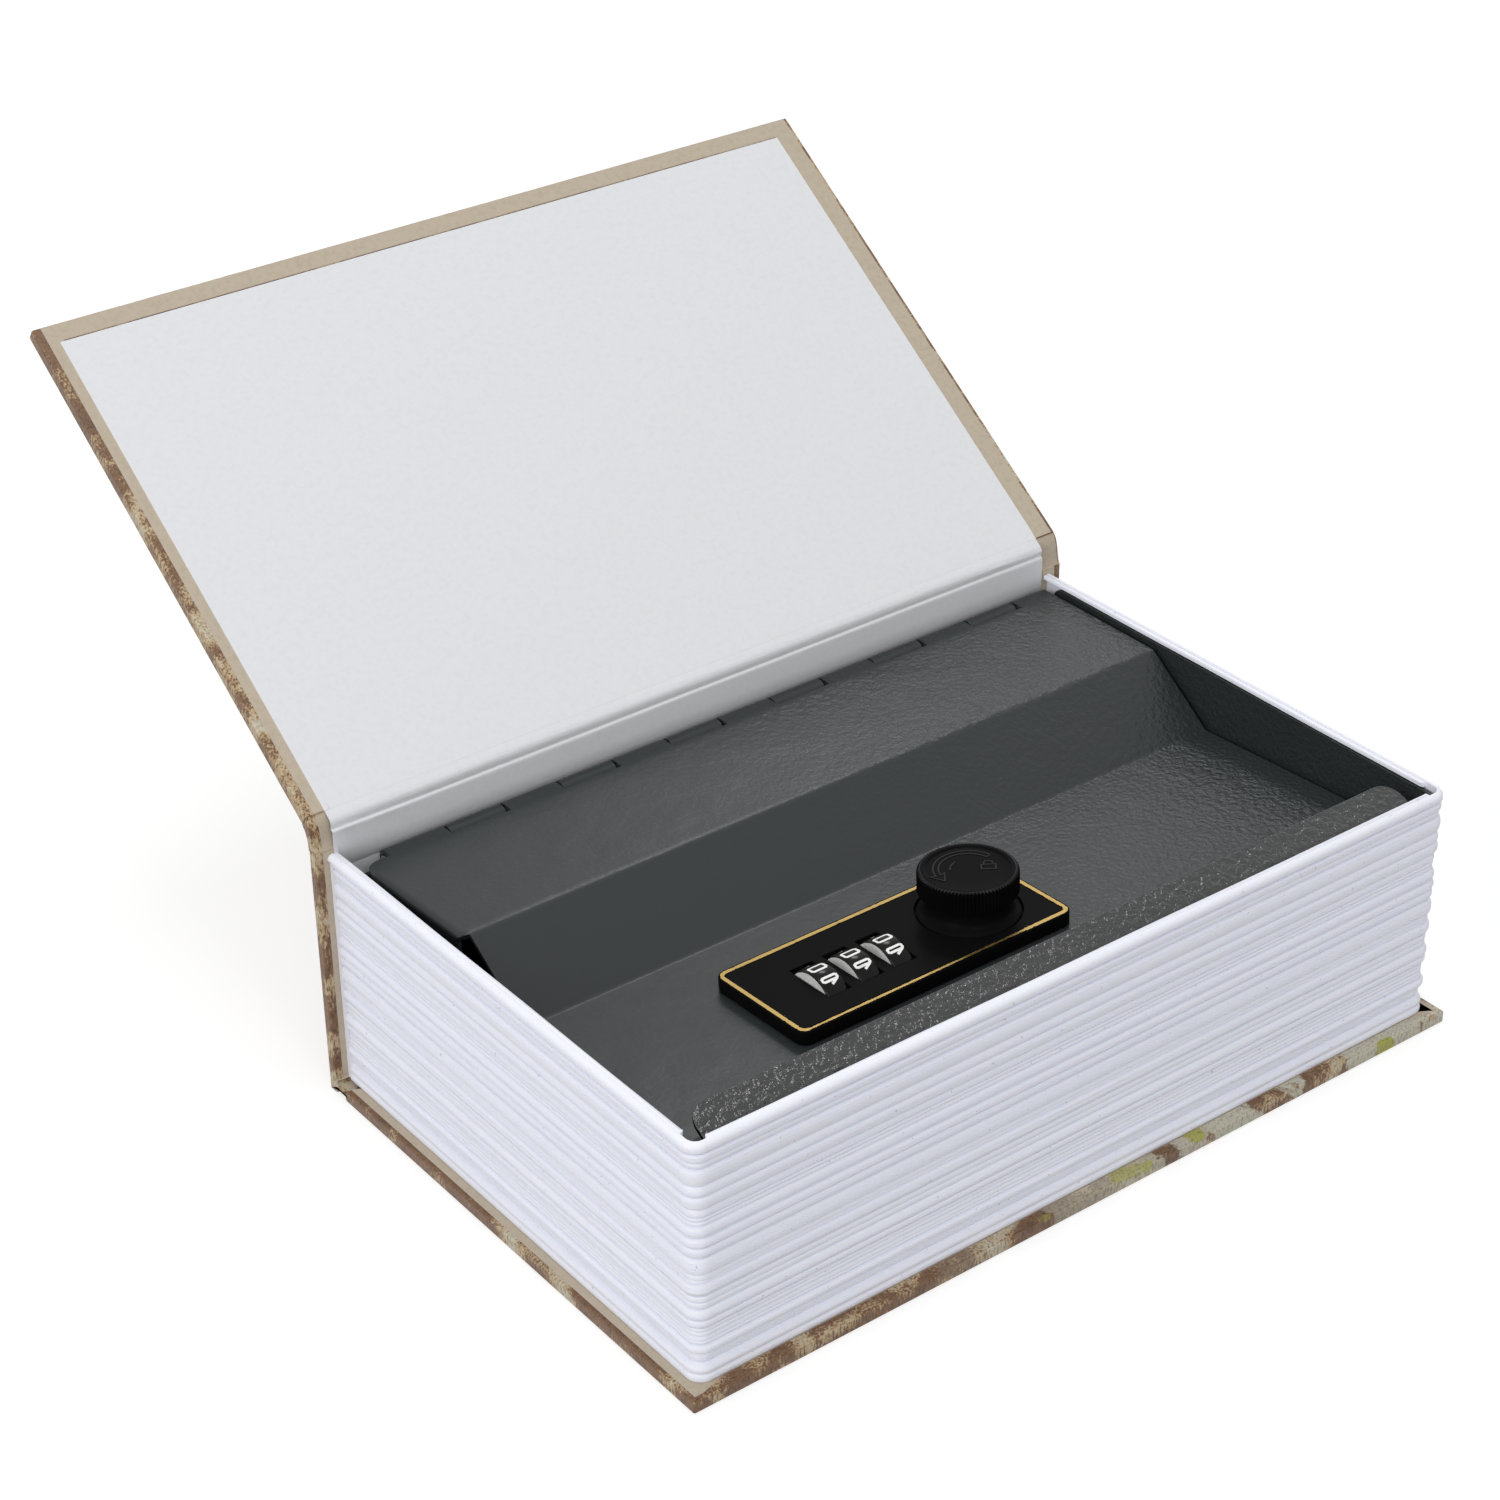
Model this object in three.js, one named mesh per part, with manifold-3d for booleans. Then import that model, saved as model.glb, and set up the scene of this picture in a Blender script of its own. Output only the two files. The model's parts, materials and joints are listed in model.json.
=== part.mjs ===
// Book diversion safe: a hardback case, a page block, a steel box with a hinged lid and a number lock.
// Millimetres, +X along the spine, +Y towards the spine, +Z up, origin under the middle of the back cover.
import * as THREE from "three";
import { mergeVertices } from "three/addons/utils/BufferGeometryUtils.js";
import Module from "manifold-3d";

const wasm = await Module();
wasm.setup();

// Book case
const bookLength = 180;
const bookDepth = 115;
const bookThickness = 55;
const boardThickness = 1.7;
const spineBoardThickness = 1.2;
const paperThickness = 0.35;
const glueLine = 0.1;
const headTurnIn = 5.1;
const foreTurnIn = 4.1;
const coverSquare = 2.4;
const backJointWidth = 4.1;
const frontJointWidth = 2.4;
const grooveDepth = 1.2;
const spineRise = 0.8;
const hingeAxisInset = 1.0;
const hingeAxisRise = 0.4;
const coverOpenAngle = 144.5;

// Page block
const ribDepth = 0.5;
const blockWebThickness = 0.8;
const blockCornerRadius = 3.2;
const rimLipWidth = 1;
const rimLipThickness = 0.9;
const rimLipSideGap = 3.6;
const rimLipFrontGap = 2.9;
const rimRound = 1.1;
const blockFootWidth = 9;
const blockFootThickness = 1.2;
const plainStripWidth = 1.3;
// Page bundles from the top: height, and how proud each stands between groove 0 and full rib 1
const pageBundles = [
  [2.4, 0.9], [1.6, 0.7], [1.4, 0.45], [3.2, 1], [2.2, 0.7], [2.6, 1], [1.8, 0.5], [0.9, 0.35], [0.9, 0.3],
  [2.3, 0.75], [2.0, 0.95], [2.3, 0.7], [3.1, 1], [1.3, 0.5], [0.8, 0.3], [2.7, 1], [1.3, 0.5], [1.4, 0.45],
  [2.2, 1], [1.8, 0.7], [0.9, 0.3], [0.9, 0.35], [0.9, 0.3], [0.9, 0.35], [1.6, 1], [2.5, 0.25], [1.8, 0.85],
  [1.75, 0.9],
];

// Steel box
const sheet = 0.9;
const boxGap = 0.3;
const boxCornerRadius = 2;
const boxWallDrop = 0.3;
const flangeReach = 8.6;
const flangeEndInset = 4.2;
const flangeCornerRadius = 4;
const flangeBendRadius = 4;
const flangeRise = 4.6;
const flangeShoulder = 3.8;
const flangeCrown = 2.7;
const flangeRearDrop = 0.4;
const frontReliefDrop = 4.6;
const wallRearSetback = 3.1;
const wallCornerRadius = 2.5;
const restTabLength = 10;
const restTabReach = 3.6;
const restTabY = -28;

// Lid hinge
const pinRadius = 0.95;
const pinClearance = 0.15;
const pinEndInset = 7;
const knucklePitch = 25.2;
const knuckleWidth = 12.2;
const knuckleSideGap = 0.4;
const knuckleCount = 6;
const firstKnuckleX = -63.4;
const knuckleRunningGap = 0.4;
const lidSlotDepth = 0.4;

// Lid
const lidSideGap = 0.9;
const lidTopZ = 50;
const creaseUpperY = 21;
const creaseLowerY = 5;
const lidStepDepth = 11.4;
const lowerFlatTilt = 3.3;
const lidFrontGap = 1.6;
const lidHemHeight = 5.5;
const lidBendRadius = 1.6;
const lidFlangeHeight = 5;
const lidNotchReach = 1.8;
const lidCornerNotch = 7.3;
const lidNotchRadius = 3.4;
const lidFlangeRearInset = 5.6;
const lidLeftTaperRear = 1.3;
const lidLeftTaperFront = 3.6;
const lidReliefWidth = 4.7;

// Lock, in a frame that lies on the tilted lower flat of the lid
const lockX = -16;
const lockY = -19.6;
const plateOverhang = 6.1;
const plateDepth = 25.6;
const plateHeight = 2.95;
const plateCornerRadius = 2.2;
const plateBevel = 0.2;
const seatGap = 0.15;
const bodyLength = 50;
const plateLength = bodyLength + 2 * plateOverhang;
const bodyDepth = 21;
const bodyDrop = 9.6;
const bodyWall = 2.6;
const bodyCornerRadius = 1.2;
const gearCavityHalfY = 8.2;
const gearRoofThickness = 2.2;
const roofThickness = 1.1;
const borderInset = 0.3;
const borderWidth = 0.85;
const borderDepth = 0.3;
const borderGap = 0.08;
const borderStand = 0.02;
const windowLength = 11.4;
const windowWidth = 5;
const wheelPitch = 7.38;
const wheelCount = 3;
const firstWheelX = -17.7;
const wheelAxisY = -0.7;
const wheelRadius = 6.2;
const wheelWidth = 4.6;
const wheelChamberGap = 1;
const wheelProud = 1.95;
const wheelBore = 2.1;
const sleeveGap = 0.2;
const axleRadius = 1;
const axleClearance = 0.15;
const codeDiscRadius = 2.85;
const codeDiscWidth = 1.3;
const codeDiscGap = 0.15;
const gateWidth = 1.8;
const gateDepth = 0.75;
const detentCount = 10;
const detentDepth = 0.35;
const toothGap = 0.35;
const springLeaf = 0.3;
const fenceThickness = 0.8;
const fenceHeight = 1.6;
const fenceGap = 0.3;
const backPlateThickness = 1;
const clampThickness = 1.2;
const clampMargin = 3;
const clampScrewInset = 3.1;
const clampScrewRadius = 1.1;
const clampScrewLength = 3.8;
const backScrewRadius = 0.8;
const backScrewLength = 4.4;
const backScrewY = 7;
const screwHoleGap = 0.25;
const bodyHoleGap = 0.3;

// Knob and latch
const knobX = 17;
const knobRadius = 9.3;
const knobHeight = 8.7;
const knurlHeight = 4.5;
const knurlTeeth = 84;
const knurlDepth = 0.35;
const skirtWaist = 7.6;
const collarRadius = 9.9;
const collarDepth = 0.8;
const spindleRadius = 2.5;
const spindleClearance = 0.3;
const spindleTopInset = 4;
const camSquare = 3.6;
const camThickness = 1.5;
const camWidth = 10;
const camReach = 29.5;
const camGap = 0.4;
const camScrewRadius = 1.25;
const camScrewLength = 5.5;
const keeperWidth = 18;
const keeperReach = 5.6;
const keeperDrop = 9;
const keeperThickness = 1.2;
const latchGap = 0.5;

// Code-reset slide
const resetX = 6.5;
const resetY = 5.2;
const resetBodyLength = 5;
const resetBodyDepth = 4;
const resetBodyHeight = 2;
const resetTabLength = 2;
const resetTabReach = 1.4;
const resetTravel = 2.5;
const resetGap = 0.3;

// Foam tape under the box
const tapeEndInset = 2.3;
const tapeWidth = 22;
const tapeSpacing = 46;
const restGap = 0.05;

// Worked-out values of the case
const halfLength = bookLength / 2;
const halfDepth = bookDepth / 2;
const paperPlusGlue = paperThickness + glueLine;
const coverThickness = boardThickness + 2 * paperPlusGlue;
const paperUnderZ = coverThickness - paperThickness;
const coverInnerZ = bookThickness - coverThickness;
const blockTopZ = coverInnerZ - boxGap;
const blockBottomZ = coverThickness + restGap;
const spineThickness = spineBoardThickness + 2 * paperPlusGlue;
const spineInnerY = halfDepth - spineThickness;
const spineTopZ = coverInnerZ + spineRise;
const boardRearY = spineInnerY - backJointWidth;
const frontBoardRearY = spineInnerY - frontJointWidth;
const hingeY = halfDepth - hingeAxisInset;
const hingeZ = bookThickness + hingeAxisRise;
const openRad = THREE.MathUtils.degToRad(coverOpenAngle);

// Worked-out values of the block and the box
const blockHalfX = halfLength - coverSquare;
const blockFrontY = -halfDepth + coverSquare;
const blockRearY = spineInnerY - restGap;
const blockWall = ribDepth + blockWebThickness;
const boxHalfX = blockHalfX - blockWall - boxGap;
const boxFrontY = blockFrontY + blockWall + boxGap;
const boxRearY = spineInnerY - boxGap;
const boxBottomZ = blockBottomZ + blockFootThickness + restGap;
const boxFloorZ = boxBottomZ + sheet;
const tapeLength = 2 * (blockHalfX - blockWall - blockFootWidth - tapeEndInset);
const boxInnerX = boxHalfX - sheet;
const lipUnderZ = blockTopZ - rimLipThickness;
const boxTopZ = lipUnderZ - boxWallDrop;
const flangeRearY = boxFrontY + flangeReach;
const flangeHalfX = boxHalfX - flangeEndInset;
const flangeRearZ = blockTopZ - flangeRearDrop;
const flangeFrontZ = flangeRearZ - flangeRise;

// Worked-out values of the lid
const knuckleRadius = pinRadius + pinClearance + sheet;
const knuckleBore = pinRadius + pinClearance;
const pinY = boxRearY - knuckleRadius;
const pinZ = lidTopZ - knuckleRadius;
const rearWallTopZ = pinZ - knuckleRadius - knuckleRunningGap;
const lidHalfX = boxInnerX - lidSideGap;
const tiltRad = THREE.MathUtils.degToRad(lowerFlatTilt);
const lowerCreaseZ = lidTopZ - lidStepDepth;
const lidFrontY = flangeRearY + lidFrontGap;
const lowerFlatZ = (y) => lowerCreaseZ + (creaseLowerY - y) * Math.tan(tiltRad);
const lidFrontZ = lowerFlatZ(lidFrontY);

// Worked-out values of the lock
const bodyBottomZ = -bodyDrop;
const wheelAxisZ = plateHeight + wheelProud - wheelRadius;
const cavityY0 = wheelAxisY - wheelRadius - wheelChamberGap;
const cavityY1 = wheelAxisY + wheelRadius + wheelChamberGap;
const lastWheelX = firstWheelX + (wheelCount - 1) * wheelPitch;
const wheelCavityX0 = -bodyLength / 2 + bodyWall;
const discOffset = wheelWidth / 2 + codeDiscGap + codeDiscWidth / 2;
const wheelCavityX1 = lastWheelX + discOffset + codeDiscWidth / 2 + 0.3;
const gearCavityX0 = wheelCavityX1 + 1.4;
const gearCavityX1 = bodyLength / 2 - bodyWall;
const gearRoofZ = plateHeight - collarDepth - gearRoofThickness;
const backPlateTopZ = bodyBottomZ - restGap;
const backPlateBottomZ = backPlateTopZ - backPlateThickness;
const camTopZ = backPlateBottomZ - camGap;
const camBottomZ = camTopZ - camThickness;
const clampTopZ = -sheet - seatGap;
const clampBottomZ = clampTopZ - clampThickness;
const recessFloorZ = plateHeight - collarDepth;
const knobBottomZ = recessFloorZ + 0.2;
const clampScrewX = plateLength / 2 - clampScrewInset;
const knobTopZ = plateHeight + knobHeight;
const spindleTopZ = knobTopZ - spindleTopInset;
const backScrewX = bodyLength / 2 - bodyWall / 2;
const backScrews = [[-backScrewX, -backScrewY], [backScrewX, backScrewY]];
const clampScrews = [[-clampScrewX, 0], [clampScrewX, 0]];

// Solids from three.js geometry
function toSolid(geometry) {
  const plain = geometry.clone();
  plain.deleteAttribute("normal");
  plain.deleteAttribute("uv");
  const merged = mergeVertices(plain, 1e-5);
  const vertProperties = Float32Array.from(merged.attributes.position.array);
  const triVerts = Uint32Array.from(merged.index.array);
  return new wasm.Manifold(new wasm.Mesh({ numProp: 3, vertProperties, triVerts }));
}

function toGeometry(solid) {
  const mesh = solid.getMesh();
  const geometry = new THREE.BufferGeometry();
  geometry.setAttribute("position", new THREE.BufferAttribute(mesh.vertProperties, 3));
  geometry.setIndex(new THREE.BufferAttribute(mesh.triVerts, 1));
  geometry.computeVertexNormals();
  return geometry;
}

function box(x0, x1, y0, y1, z0, z1) {
  const geometry = new THREE.BoxGeometry(x1 - x0, y1 - y0, z1 - z0);
  geometry.translate((x0 + x1) / 2, (y0 + y1) / 2, (z0 + z1) / 2);
  return toSolid(geometry);
}

function extrude(points, depth, bevel = 0) {
  const shape = new THREE.Shape(points.map(([a, b]) => new THREE.Vector2(a, b)));
  const rounding = { bevelEnabled: bevel > 0, bevelThickness: bevel, bevelSize: bevel, bevelOffset: -bevel };
  const straight = { depth: depth - 2 * bevel, steps: 1, bevelSegments: 2 };
  const geometry = new THREE.ExtrudeGeometry(shape, { ...straight, ...rounding });
  return geometry.translate(0, 0, bevel);
}

// A prism whose outline is given in Y and Z, from x0 to x1
function prismX(points, x0, x1) {
  const geometry = extrude(points, x1 - x0);
  const turn = new THREE.Matrix4().set(0, 0, 1, x0, 1, 0, 0, 0, 0, 1, 0, 0, 0, 0, 0, 1);
  return toSolid(geometry.applyMatrix4(turn));
}

// A prism whose outline is given in X and Y, from z0 to z1
function prismZ(points, z0, z1, bevel = 0) {
  return toSolid(extrude(points, z1 - z0, bevel).translate(0, 0, z0));
}

function rodX(radius, x0, x1, y, z, sides = 24) {
  const geometry = new THREE.CylinderGeometry(radius, radius, x1 - x0, sides);
  geometry.rotateZ(-Math.PI / 2);
  return toSolid(geometry.translate((x0 + x1) / 2, y, z));
}

function rodZ(radius, z0, z1, x, y, sides = 32) {
  const geometry = new THREE.CylinderGeometry(radius, radius, z1 - z0, sides);
  geometry.rotateX(Math.PI / 2);
  return toSolid(geometry.translate(x, y, (z0 + z1) / 2));
}

function arc(cx, cy, radius, from, to, steps) {
  const points = [];
  for (let i = 0; i <= steps; i += 1) {
    const t = THREE.MathUtils.degToRad(from + ((to - from) * i) / steps);
    points.push([cx + radius * Math.cos(t), cy + radius * Math.sin(t)]);
  }
  return points;
}

function roundedRect(x0, x1, y0, y1, radius, steps = 5) {
  return [
    ...arc(x1 - radius, y0 + radius, radius, -90, 0, steps),
    ...arc(x1 - radius, y1 - radius, radius, 0, 90, steps),
    ...arc(x0 + radius, y1 - radius, radius, 90, 180, steps),
    ...arc(x0 + radius, y0 + radius, radius, 180, 270, steps),
  ];
}

// A bent strip of sheet: corner points of its upper face, a bend radius each, the thickness to its right
function bentSheet(corners, radius, thickness, steps = 5) {
  const face = [];
  const back = [];
  const push = (p, n) => {
    face.push([p.x, p.y]);
    back.push([p.x - n.x * thickness, p.y - n.y * thickness]);
  };
  const points = corners.map(([a, b]) => new THREE.Vector2(a, b));
  const left = (d) => new THREE.Vector2(-d.y, d.x);
  const last = points.length - 1;
  const along = (i) => points[i + 1].clone().sub(points[i]).normalize();
  push(points[0], left(along(0)));
  for (let i = 1; i < last; i += 1) {
    const before = along(i - 1);
    const after = along(i);
    const turn = Math.atan2(before.x * after.y - before.y * after.x, before.dot(after));
    const bend = turn < 0 ? radius + thickness : radius;
    const reach = bend * Math.tan(Math.abs(turn) / 2);
    const start = points[i].clone().addScaledVector(before, -reach);
    const side = Math.sign(turn);
    const centre = start.clone().addScaledVector(left(before), side * bend);
    for (let k = 0; k <= steps; k += 1) {
      const normal = left(before).rotateAround(new THREE.Vector2(), (turn * k) / steps);
      push(centre.clone().addScaledVector(normal, -side * bend), normal);
    }
  }
  push(points[last], left(along(last - 1)));
  return [...face, ...back.reverse()];
}

// Where a point of the closed front cover lies once the cover is open
function opened(y, z) {
  const dy = y - hingeY;
  const dz = z - hingeZ;
  const c = Math.cos(openRad);
  const s = Math.sin(openRad);
  return [hingeY + dy * c + dz * s, hingeZ - dy * s + dz * c];
}

// A thin strip of paper that leaves one edge, turns smoothly and arrives at another
function paperStrip(start, startTurn, endTurn, end, halfWidth) {
  const curve = new THREE.CubicBezierCurve(
    new THREE.Vector2(...start), new THREE.Vector2(...startTurn),
    new THREE.Vector2(...endTurn), new THREE.Vector2(...end),
  );
  const steps = 8;
  const face = [];
  const back = [];
  for (let i = 0; i <= steps; i += 1) {
    const p = curve.getPoint(i / steps);
    const d = curve.getTangent(i / steps);
    face.push([p.x + (d.y * paperThickness) / 2, p.y - (d.x * paperThickness) / 2]);
    back.push([p.x - (d.y * paperThickness) / 2, p.y + (d.x * paperThickness) / 2]);
  }
  return prismX([...face, ...back.reverse()], -halfWidth, halfWidth);
}

// Book case: boards, papers and joints
const boardHalfX = halfLength - paperPlusGlue;
const board = (y0, y1, z0, z1) => box(-boardHalfX, boardHalfX, y0, y1, z0, z1);
const boardFrontY = -halfDepth + paperPlusGlue;
const boardTopZ = paperPlusGlue + boardThickness;
const backBoard = () => board(boardFrontY, boardRearY, paperPlusGlue, boardTopZ);
const spineBoardY = spineInnerY + paperPlusGlue;
const spineBoard = () => board(spineBoardY, halfDepth - paperPlusGlue, paperPlusGlue, spineTopZ);

function frontBoard() {
  const z0 = coverInnerZ + paperPlusGlue;
  return board(boardFrontY, frontBoardRearY, z0, z0 + boardThickness);
}

// The inside faces of a wrap are open between the turn-ins, where the endpaper lies on the board
function backWrap() {
  const skin = halfLength - paperThickness;
  const window = halfLength - headTurnIn;
  const edgeY = boardRearY + glueLine;
  const spineY = spineInnerY + paperThickness;
  const grooveY0 = edgeY + 0.3;
  const grooveY1 = spineInnerY - 0.1;
  const webZ = grooveDepth + paperThickness;
  const groove = [
    [grooveY0, -1], [grooveY0 + 0.7, grooveDepth], [grooveY1 - 0.5, grooveDepth], [grooveY1 + 0.3, -1],
  ];
  return box(-halfLength, halfLength, -halfDepth, halfDepth, 0, coverThickness)
    .add(box(-halfLength, halfLength, spineInnerY, halfDepth, 0, spineTopZ))
    .subtract(box(-skin, skin, -halfDepth + paperThickness, edgeY, paperThickness, paperUnderZ))
    .subtract(box(-skin, skin, spineY, halfDepth - paperThickness, paperThickness, spineTopZ + 1))
    .subtract(box(-window, window, -halfDepth + foreTurnIn, edgeY, paperThickness, coverThickness + 1))
    .subtract(box(-window, window, spineInnerY - 1, spineY + 0.1, coverThickness, spineTopZ + 1))
    .subtract(box(-halfLength - 1, halfLength + 1, edgeY + 0.2, spineInnerY - 0.05, webZ, coverThickness + 1))
    .subtract(prismX(groove, -halfLength - 1, halfLength + 1));
}

function frontWrap() {
  const skin = halfLength - paperThickness;
  const window = halfLength - headTurnIn;
  const rearY = frontBoardRearY;
  const z0 = coverInnerZ;
  const innerZ0 = z0 + paperThickness;
  const innerZ1 = bookThickness - paperThickness;
  return box(-halfLength, halfLength, -halfDepth, rearY, z0, bookThickness)
    .subtract(box(-skin, skin, -halfDepth + paperThickness, rearY + 1, innerZ0, innerZ1))
    .subtract(box(-window, window, -halfDepth + foreTurnIn, rearY + 1, z0 - 1, innerZ0 + glueLine));
}

const endpaperHalfX = halfLength - headTurnIn - glueLine;
const endpaperFrontY = -halfDepth + foreTurnIn + glueLine;
const paperSheet = (y0, y1, z0, z1) => box(-endpaperHalfX, endpaperHalfX, y0, y1, z0, z1);
const paperTopZ = coverInnerZ + paperThickness;
const liningBottomZ = blockBottomZ + 1;
const backEndpaper = () => paperSheet(endpaperFrontY, boardRearY, paperUnderZ, coverThickness);
const frontEndpaper = () => paperSheet(endpaperFrontY, frontBoardRearY, coverInnerZ, paperTopZ);
const spineLining = () => paperSheet(spineInnerY, spineInnerY + paperThickness, liningBottomZ, spineTopZ);

function outerJoint() {
  const startY = halfDepth - paperThickness / 2;
  const closedZ = bookThickness - paperThickness / 2;
  const end = opened(frontBoardRearY + boxGap, closedZ);
  const before = opened(frontBoardRearY + 1.6, closedZ);
  return paperStrip([startY, spineTopZ + boxGap], [startY, spineTopZ + 1.8], before, end, halfLength);
}

function innerJoint() {
  const startY = spineInnerY + paperThickness / 2;
  const closedZ = coverInnerZ + paperThickness / 2;
  const end = opened(frontBoardRearY + boxGap, closedZ);
  const before = opened(frontBoardRearY + 3, closedZ);
  return paperStrip([startY, spineTopZ + boxGap], [startY, spineTopZ + 2.4], before, end, endpaperHalfX);
}

// Page block: a ribbed wall swept along a U, with a lip at the rim and a foot below
function pageProfile() {
  const outline = [];
  let z = blockTopZ;
  for (const [height, proud] of pageBundles) {
    const crest = ribDepth * proud;
    outline.push([0, z]);
    outline.push([crest, z - height * 0.28]);
    outline.push([crest, z - height * 0.76]);
    z -= height;
  }
  const crest = ribDepth * pageBundles[0][1];
  const rim = arc(crest - rimRound, blockTopZ - rimRound, rimRound, 90, 0, 4);
  outline.splice(0, 2, ...rim);
  outline.push([0, blockBottomZ]);
  return outline.reverse();
}

function pageStations() {
  const r = blockCornerRadius;
  const stations = [];
  const rear = [[0, 0], [plainStripWidth, 0], [plainStripWidth + 0.35, 0.7], [plainStripWidth + 1.1, 1]];
  for (const [inset, rise] of rear) stations.push([-blockHalfX, blockRearY - inset, -1, 0, rise]);
  for (const [cx, from] of [[-blockHalfX + r, 180], [blockHalfX - r, 270]]) {
    for (let i = 0; i <= 4; i += 1) {
      const t = THREE.MathUtils.degToRad(from + (90 * i) / 4);
      const nx = Math.cos(t);
      const ny = Math.sin(t);
      stations.push([cx + r * nx, blockFrontY + r + r * ny, nx, ny, 1]);
    }
  }
  for (const [inset, rise] of rear.reverse()) stations.push([blockHalfX, blockRearY - inset, 1, 0, rise]);
  return stations;
}

function ribbedWall() {
  const outline = pageProfile();
  const section = [...outline, [-blockWebThickness, blockTopZ], [-blockWebThickness, blockBottomZ]];
  const stations = pageStations();
  const positions = [];
  for (const [px, py, nx, ny, rise] of stations) {
    for (const [offset, z] of section) {
      const out = (offset > 0 ? offset * rise : offset) - ribDepth;
      positions.push(px + nx * out, py + ny * out, z);
    }
  }
  const count = section.length;
  const index = [];
  for (let s = 0; s < stations.length - 1; s += 1) {
    for (let i = 0; i < count; i += 1) {
      const a = s * count + i;
      const b = s * count + ((i + 1) % count);
      index.push(a, a + count, b, b, a + count, b + count);
    }
  }
  const cap = THREE.ShapeUtils.triangulateShape(section.map(([a, b]) => new THREE.Vector2(a, b)), []);
  const end = (stations.length - 1) * count;
  for (const [a, b, c] of cap) {
    index.push(a, b, c);
    index.push(end + a, end + c, end + b);
  }
  const geometry = new THREE.BufferGeometry();
  geometry.setAttribute("position", new THREE.Float32BufferAttribute(positions, 3));
  geometry.setIndex(index);
  return toSolid(geometry);
}

function pageBlock() {
  const innerX = blockHalfX - blockWall + 0.1;
  const innerY = blockFrontY + blockWall - 0.1;
  const lipX = blockHalfX - blockWall - rimLipWidth;
  const lipY = blockFrontY + blockWall + rimLipWidth;
  const lipFrontY = blockFrontY + blockWall + rimLipSideGap;
  const lipHalf = blockHalfX - blockWall - rimLipFrontGap;
  let solid = ribbedWall();
  for (const [x0, x1] of [[-innerX, -lipX], [lipX, innerX]]) {
    solid = solid.add(prismZ(roundedRect(x0, x1, lipFrontY, blockRearY, 0.4, 3), lipUnderZ, blockTopZ));
  }
  solid = solid.add(prismZ(roundedRect(-lipHalf, lipHalf, innerY, lipY, 0.5, 3), lipUnderZ, blockTopZ));
  const footTop = blockBottomZ + blockFootThickness;
  const footX = innerX - blockFootWidth;
  const foot = box(-innerX, innerX, innerY, blockRearY, blockBottomZ, footTop)
    .subtract(box(-footX, footX, innerY + blockFootWidth, blockRearY + 1, blockBottomZ - 1, footTop + 1));
  return solid.add(foot);
}

// Steel box: folded tray, rolled front flange, rear knuckles and rest tabs
function boxKnuckle(x0) {
  const outline = [
    [boxRearY, rearWallTopZ - 2],
    ...arc(pinY, pinZ, knuckleRadius, 0, 245, 12),
    ...arc(pinY, pinZ, knuckleBore, 245, 0, 12),
    [boxRearY - sheet, rearWallTopZ - 2],
  ];
  return prismX(outline, x0, x0 + knuckleWidth);
}

function frontFlange() {
  const corners = [
    [boxFrontY, flangeFrontZ - 3.5], [boxFrontY, flangeFrontZ],
    [boxFrontY + flangeShoulder, flangeFrontZ + flangeCrown], [flangeRearY, flangeRearZ],
  ];
  const strip = prismX(bentSheet(corners, flangeBendRadius - sheet, sheet, 5), -flangeHalfX, flangeHalfX);
  const planFrontY = boxFrontY - 2 * flangeCornerRadius;
  const plan = roundedRect(-flangeHalfX, flangeHalfX, planFrontY, flangeRearY, flangeCornerRadius, 7);
  return strip.intersect(prismZ(plan, boxBottomZ, blockTopZ + 5));
}

function sideWallTrim() {
  const setbackY = boxRearY - wallRearSetback;
  const r = wallCornerRadius;
  return [
    [setbackY, rearWallTopZ],
    ...arc(setbackY - r, boxTopZ - r, r, 0, 90, 5),
    [setbackY - r, boxTopZ + 2],
    [boxRearY + 2, boxTopZ + 2],
    [boxRearY + 2, rearWallTopZ],
  ];
}

function restTabs() {
  const topZ = lowerFlatZ(restTabY + restTabLength / 2) - sheet / Math.cos(tiltRad) - 0.25;
  const y0 = restTabY - restTabLength / 2;
  const y1 = restTabY + restTabLength / 2;
  return [-1, 1].map((side) => {
    const wall = side * (boxInnerX + sheet / 2);
    const tip = side * (boxInnerX - restTabReach);
    const underZ = topZ - sheet;
    const tab = box(Math.min(wall, tip), Math.max(wall, tip), y0, y1, underZ, topZ);
    const cutX0 = side * (boxInnerX - 1);
    const cutX1 = side * (boxHalfX + 1);
    const cut = box(Math.min(cutX0, cutX1), Math.max(cutX0, cutX1), y0, y1, underZ - restTabReach, underZ);
    return { tab, cut };
  });
}

function steelBox() {
  const outer = roundedRect(-boxHalfX, boxHalfX, boxFrontY, boxRearY, boxCornerRadius, 4);
  const innerRadius = boxCornerRadius - sheet;
  const inner = roundedRect(-boxInnerX, boxInnerX, boxFrontY + sheet, boxRearY - sheet, innerRadius, 4);
  const reliefY = boxFrontY + sheet + boxCornerRadius;
  const reliefZ = boxTopZ - frontReliefDrop;
  const rearCutY = boxRearY - sheet - boxCornerRadius;
  let solid = prismZ(outer, boxBottomZ, boxTopZ)
    .subtract(prismZ(inner, boxFloorZ, boxTopZ + 1))
    .subtract(box(-boxInnerX, boxInnerX, boxFrontY - 1, reliefY, reliefZ, boxTopZ + 1))
    .subtract(box(-boxInnerX, boxInnerX, rearCutY, boxRearY + 1, rearWallTopZ, boxTopZ + 1))
    .subtract(prismX(sideWallTrim(), -boxHalfX - 1, boxHalfX + 1))
    .add(frontFlange());
  for (let i = 0; i < knuckleCount; i += 1) solid = solid.add(boxKnuckle(firstKnuckleX + i * knucklePitch));
  for (const { tab, cut } of restTabs()) solid = solid.subtract(cut).add(tab);
  return solid;
}

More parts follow.
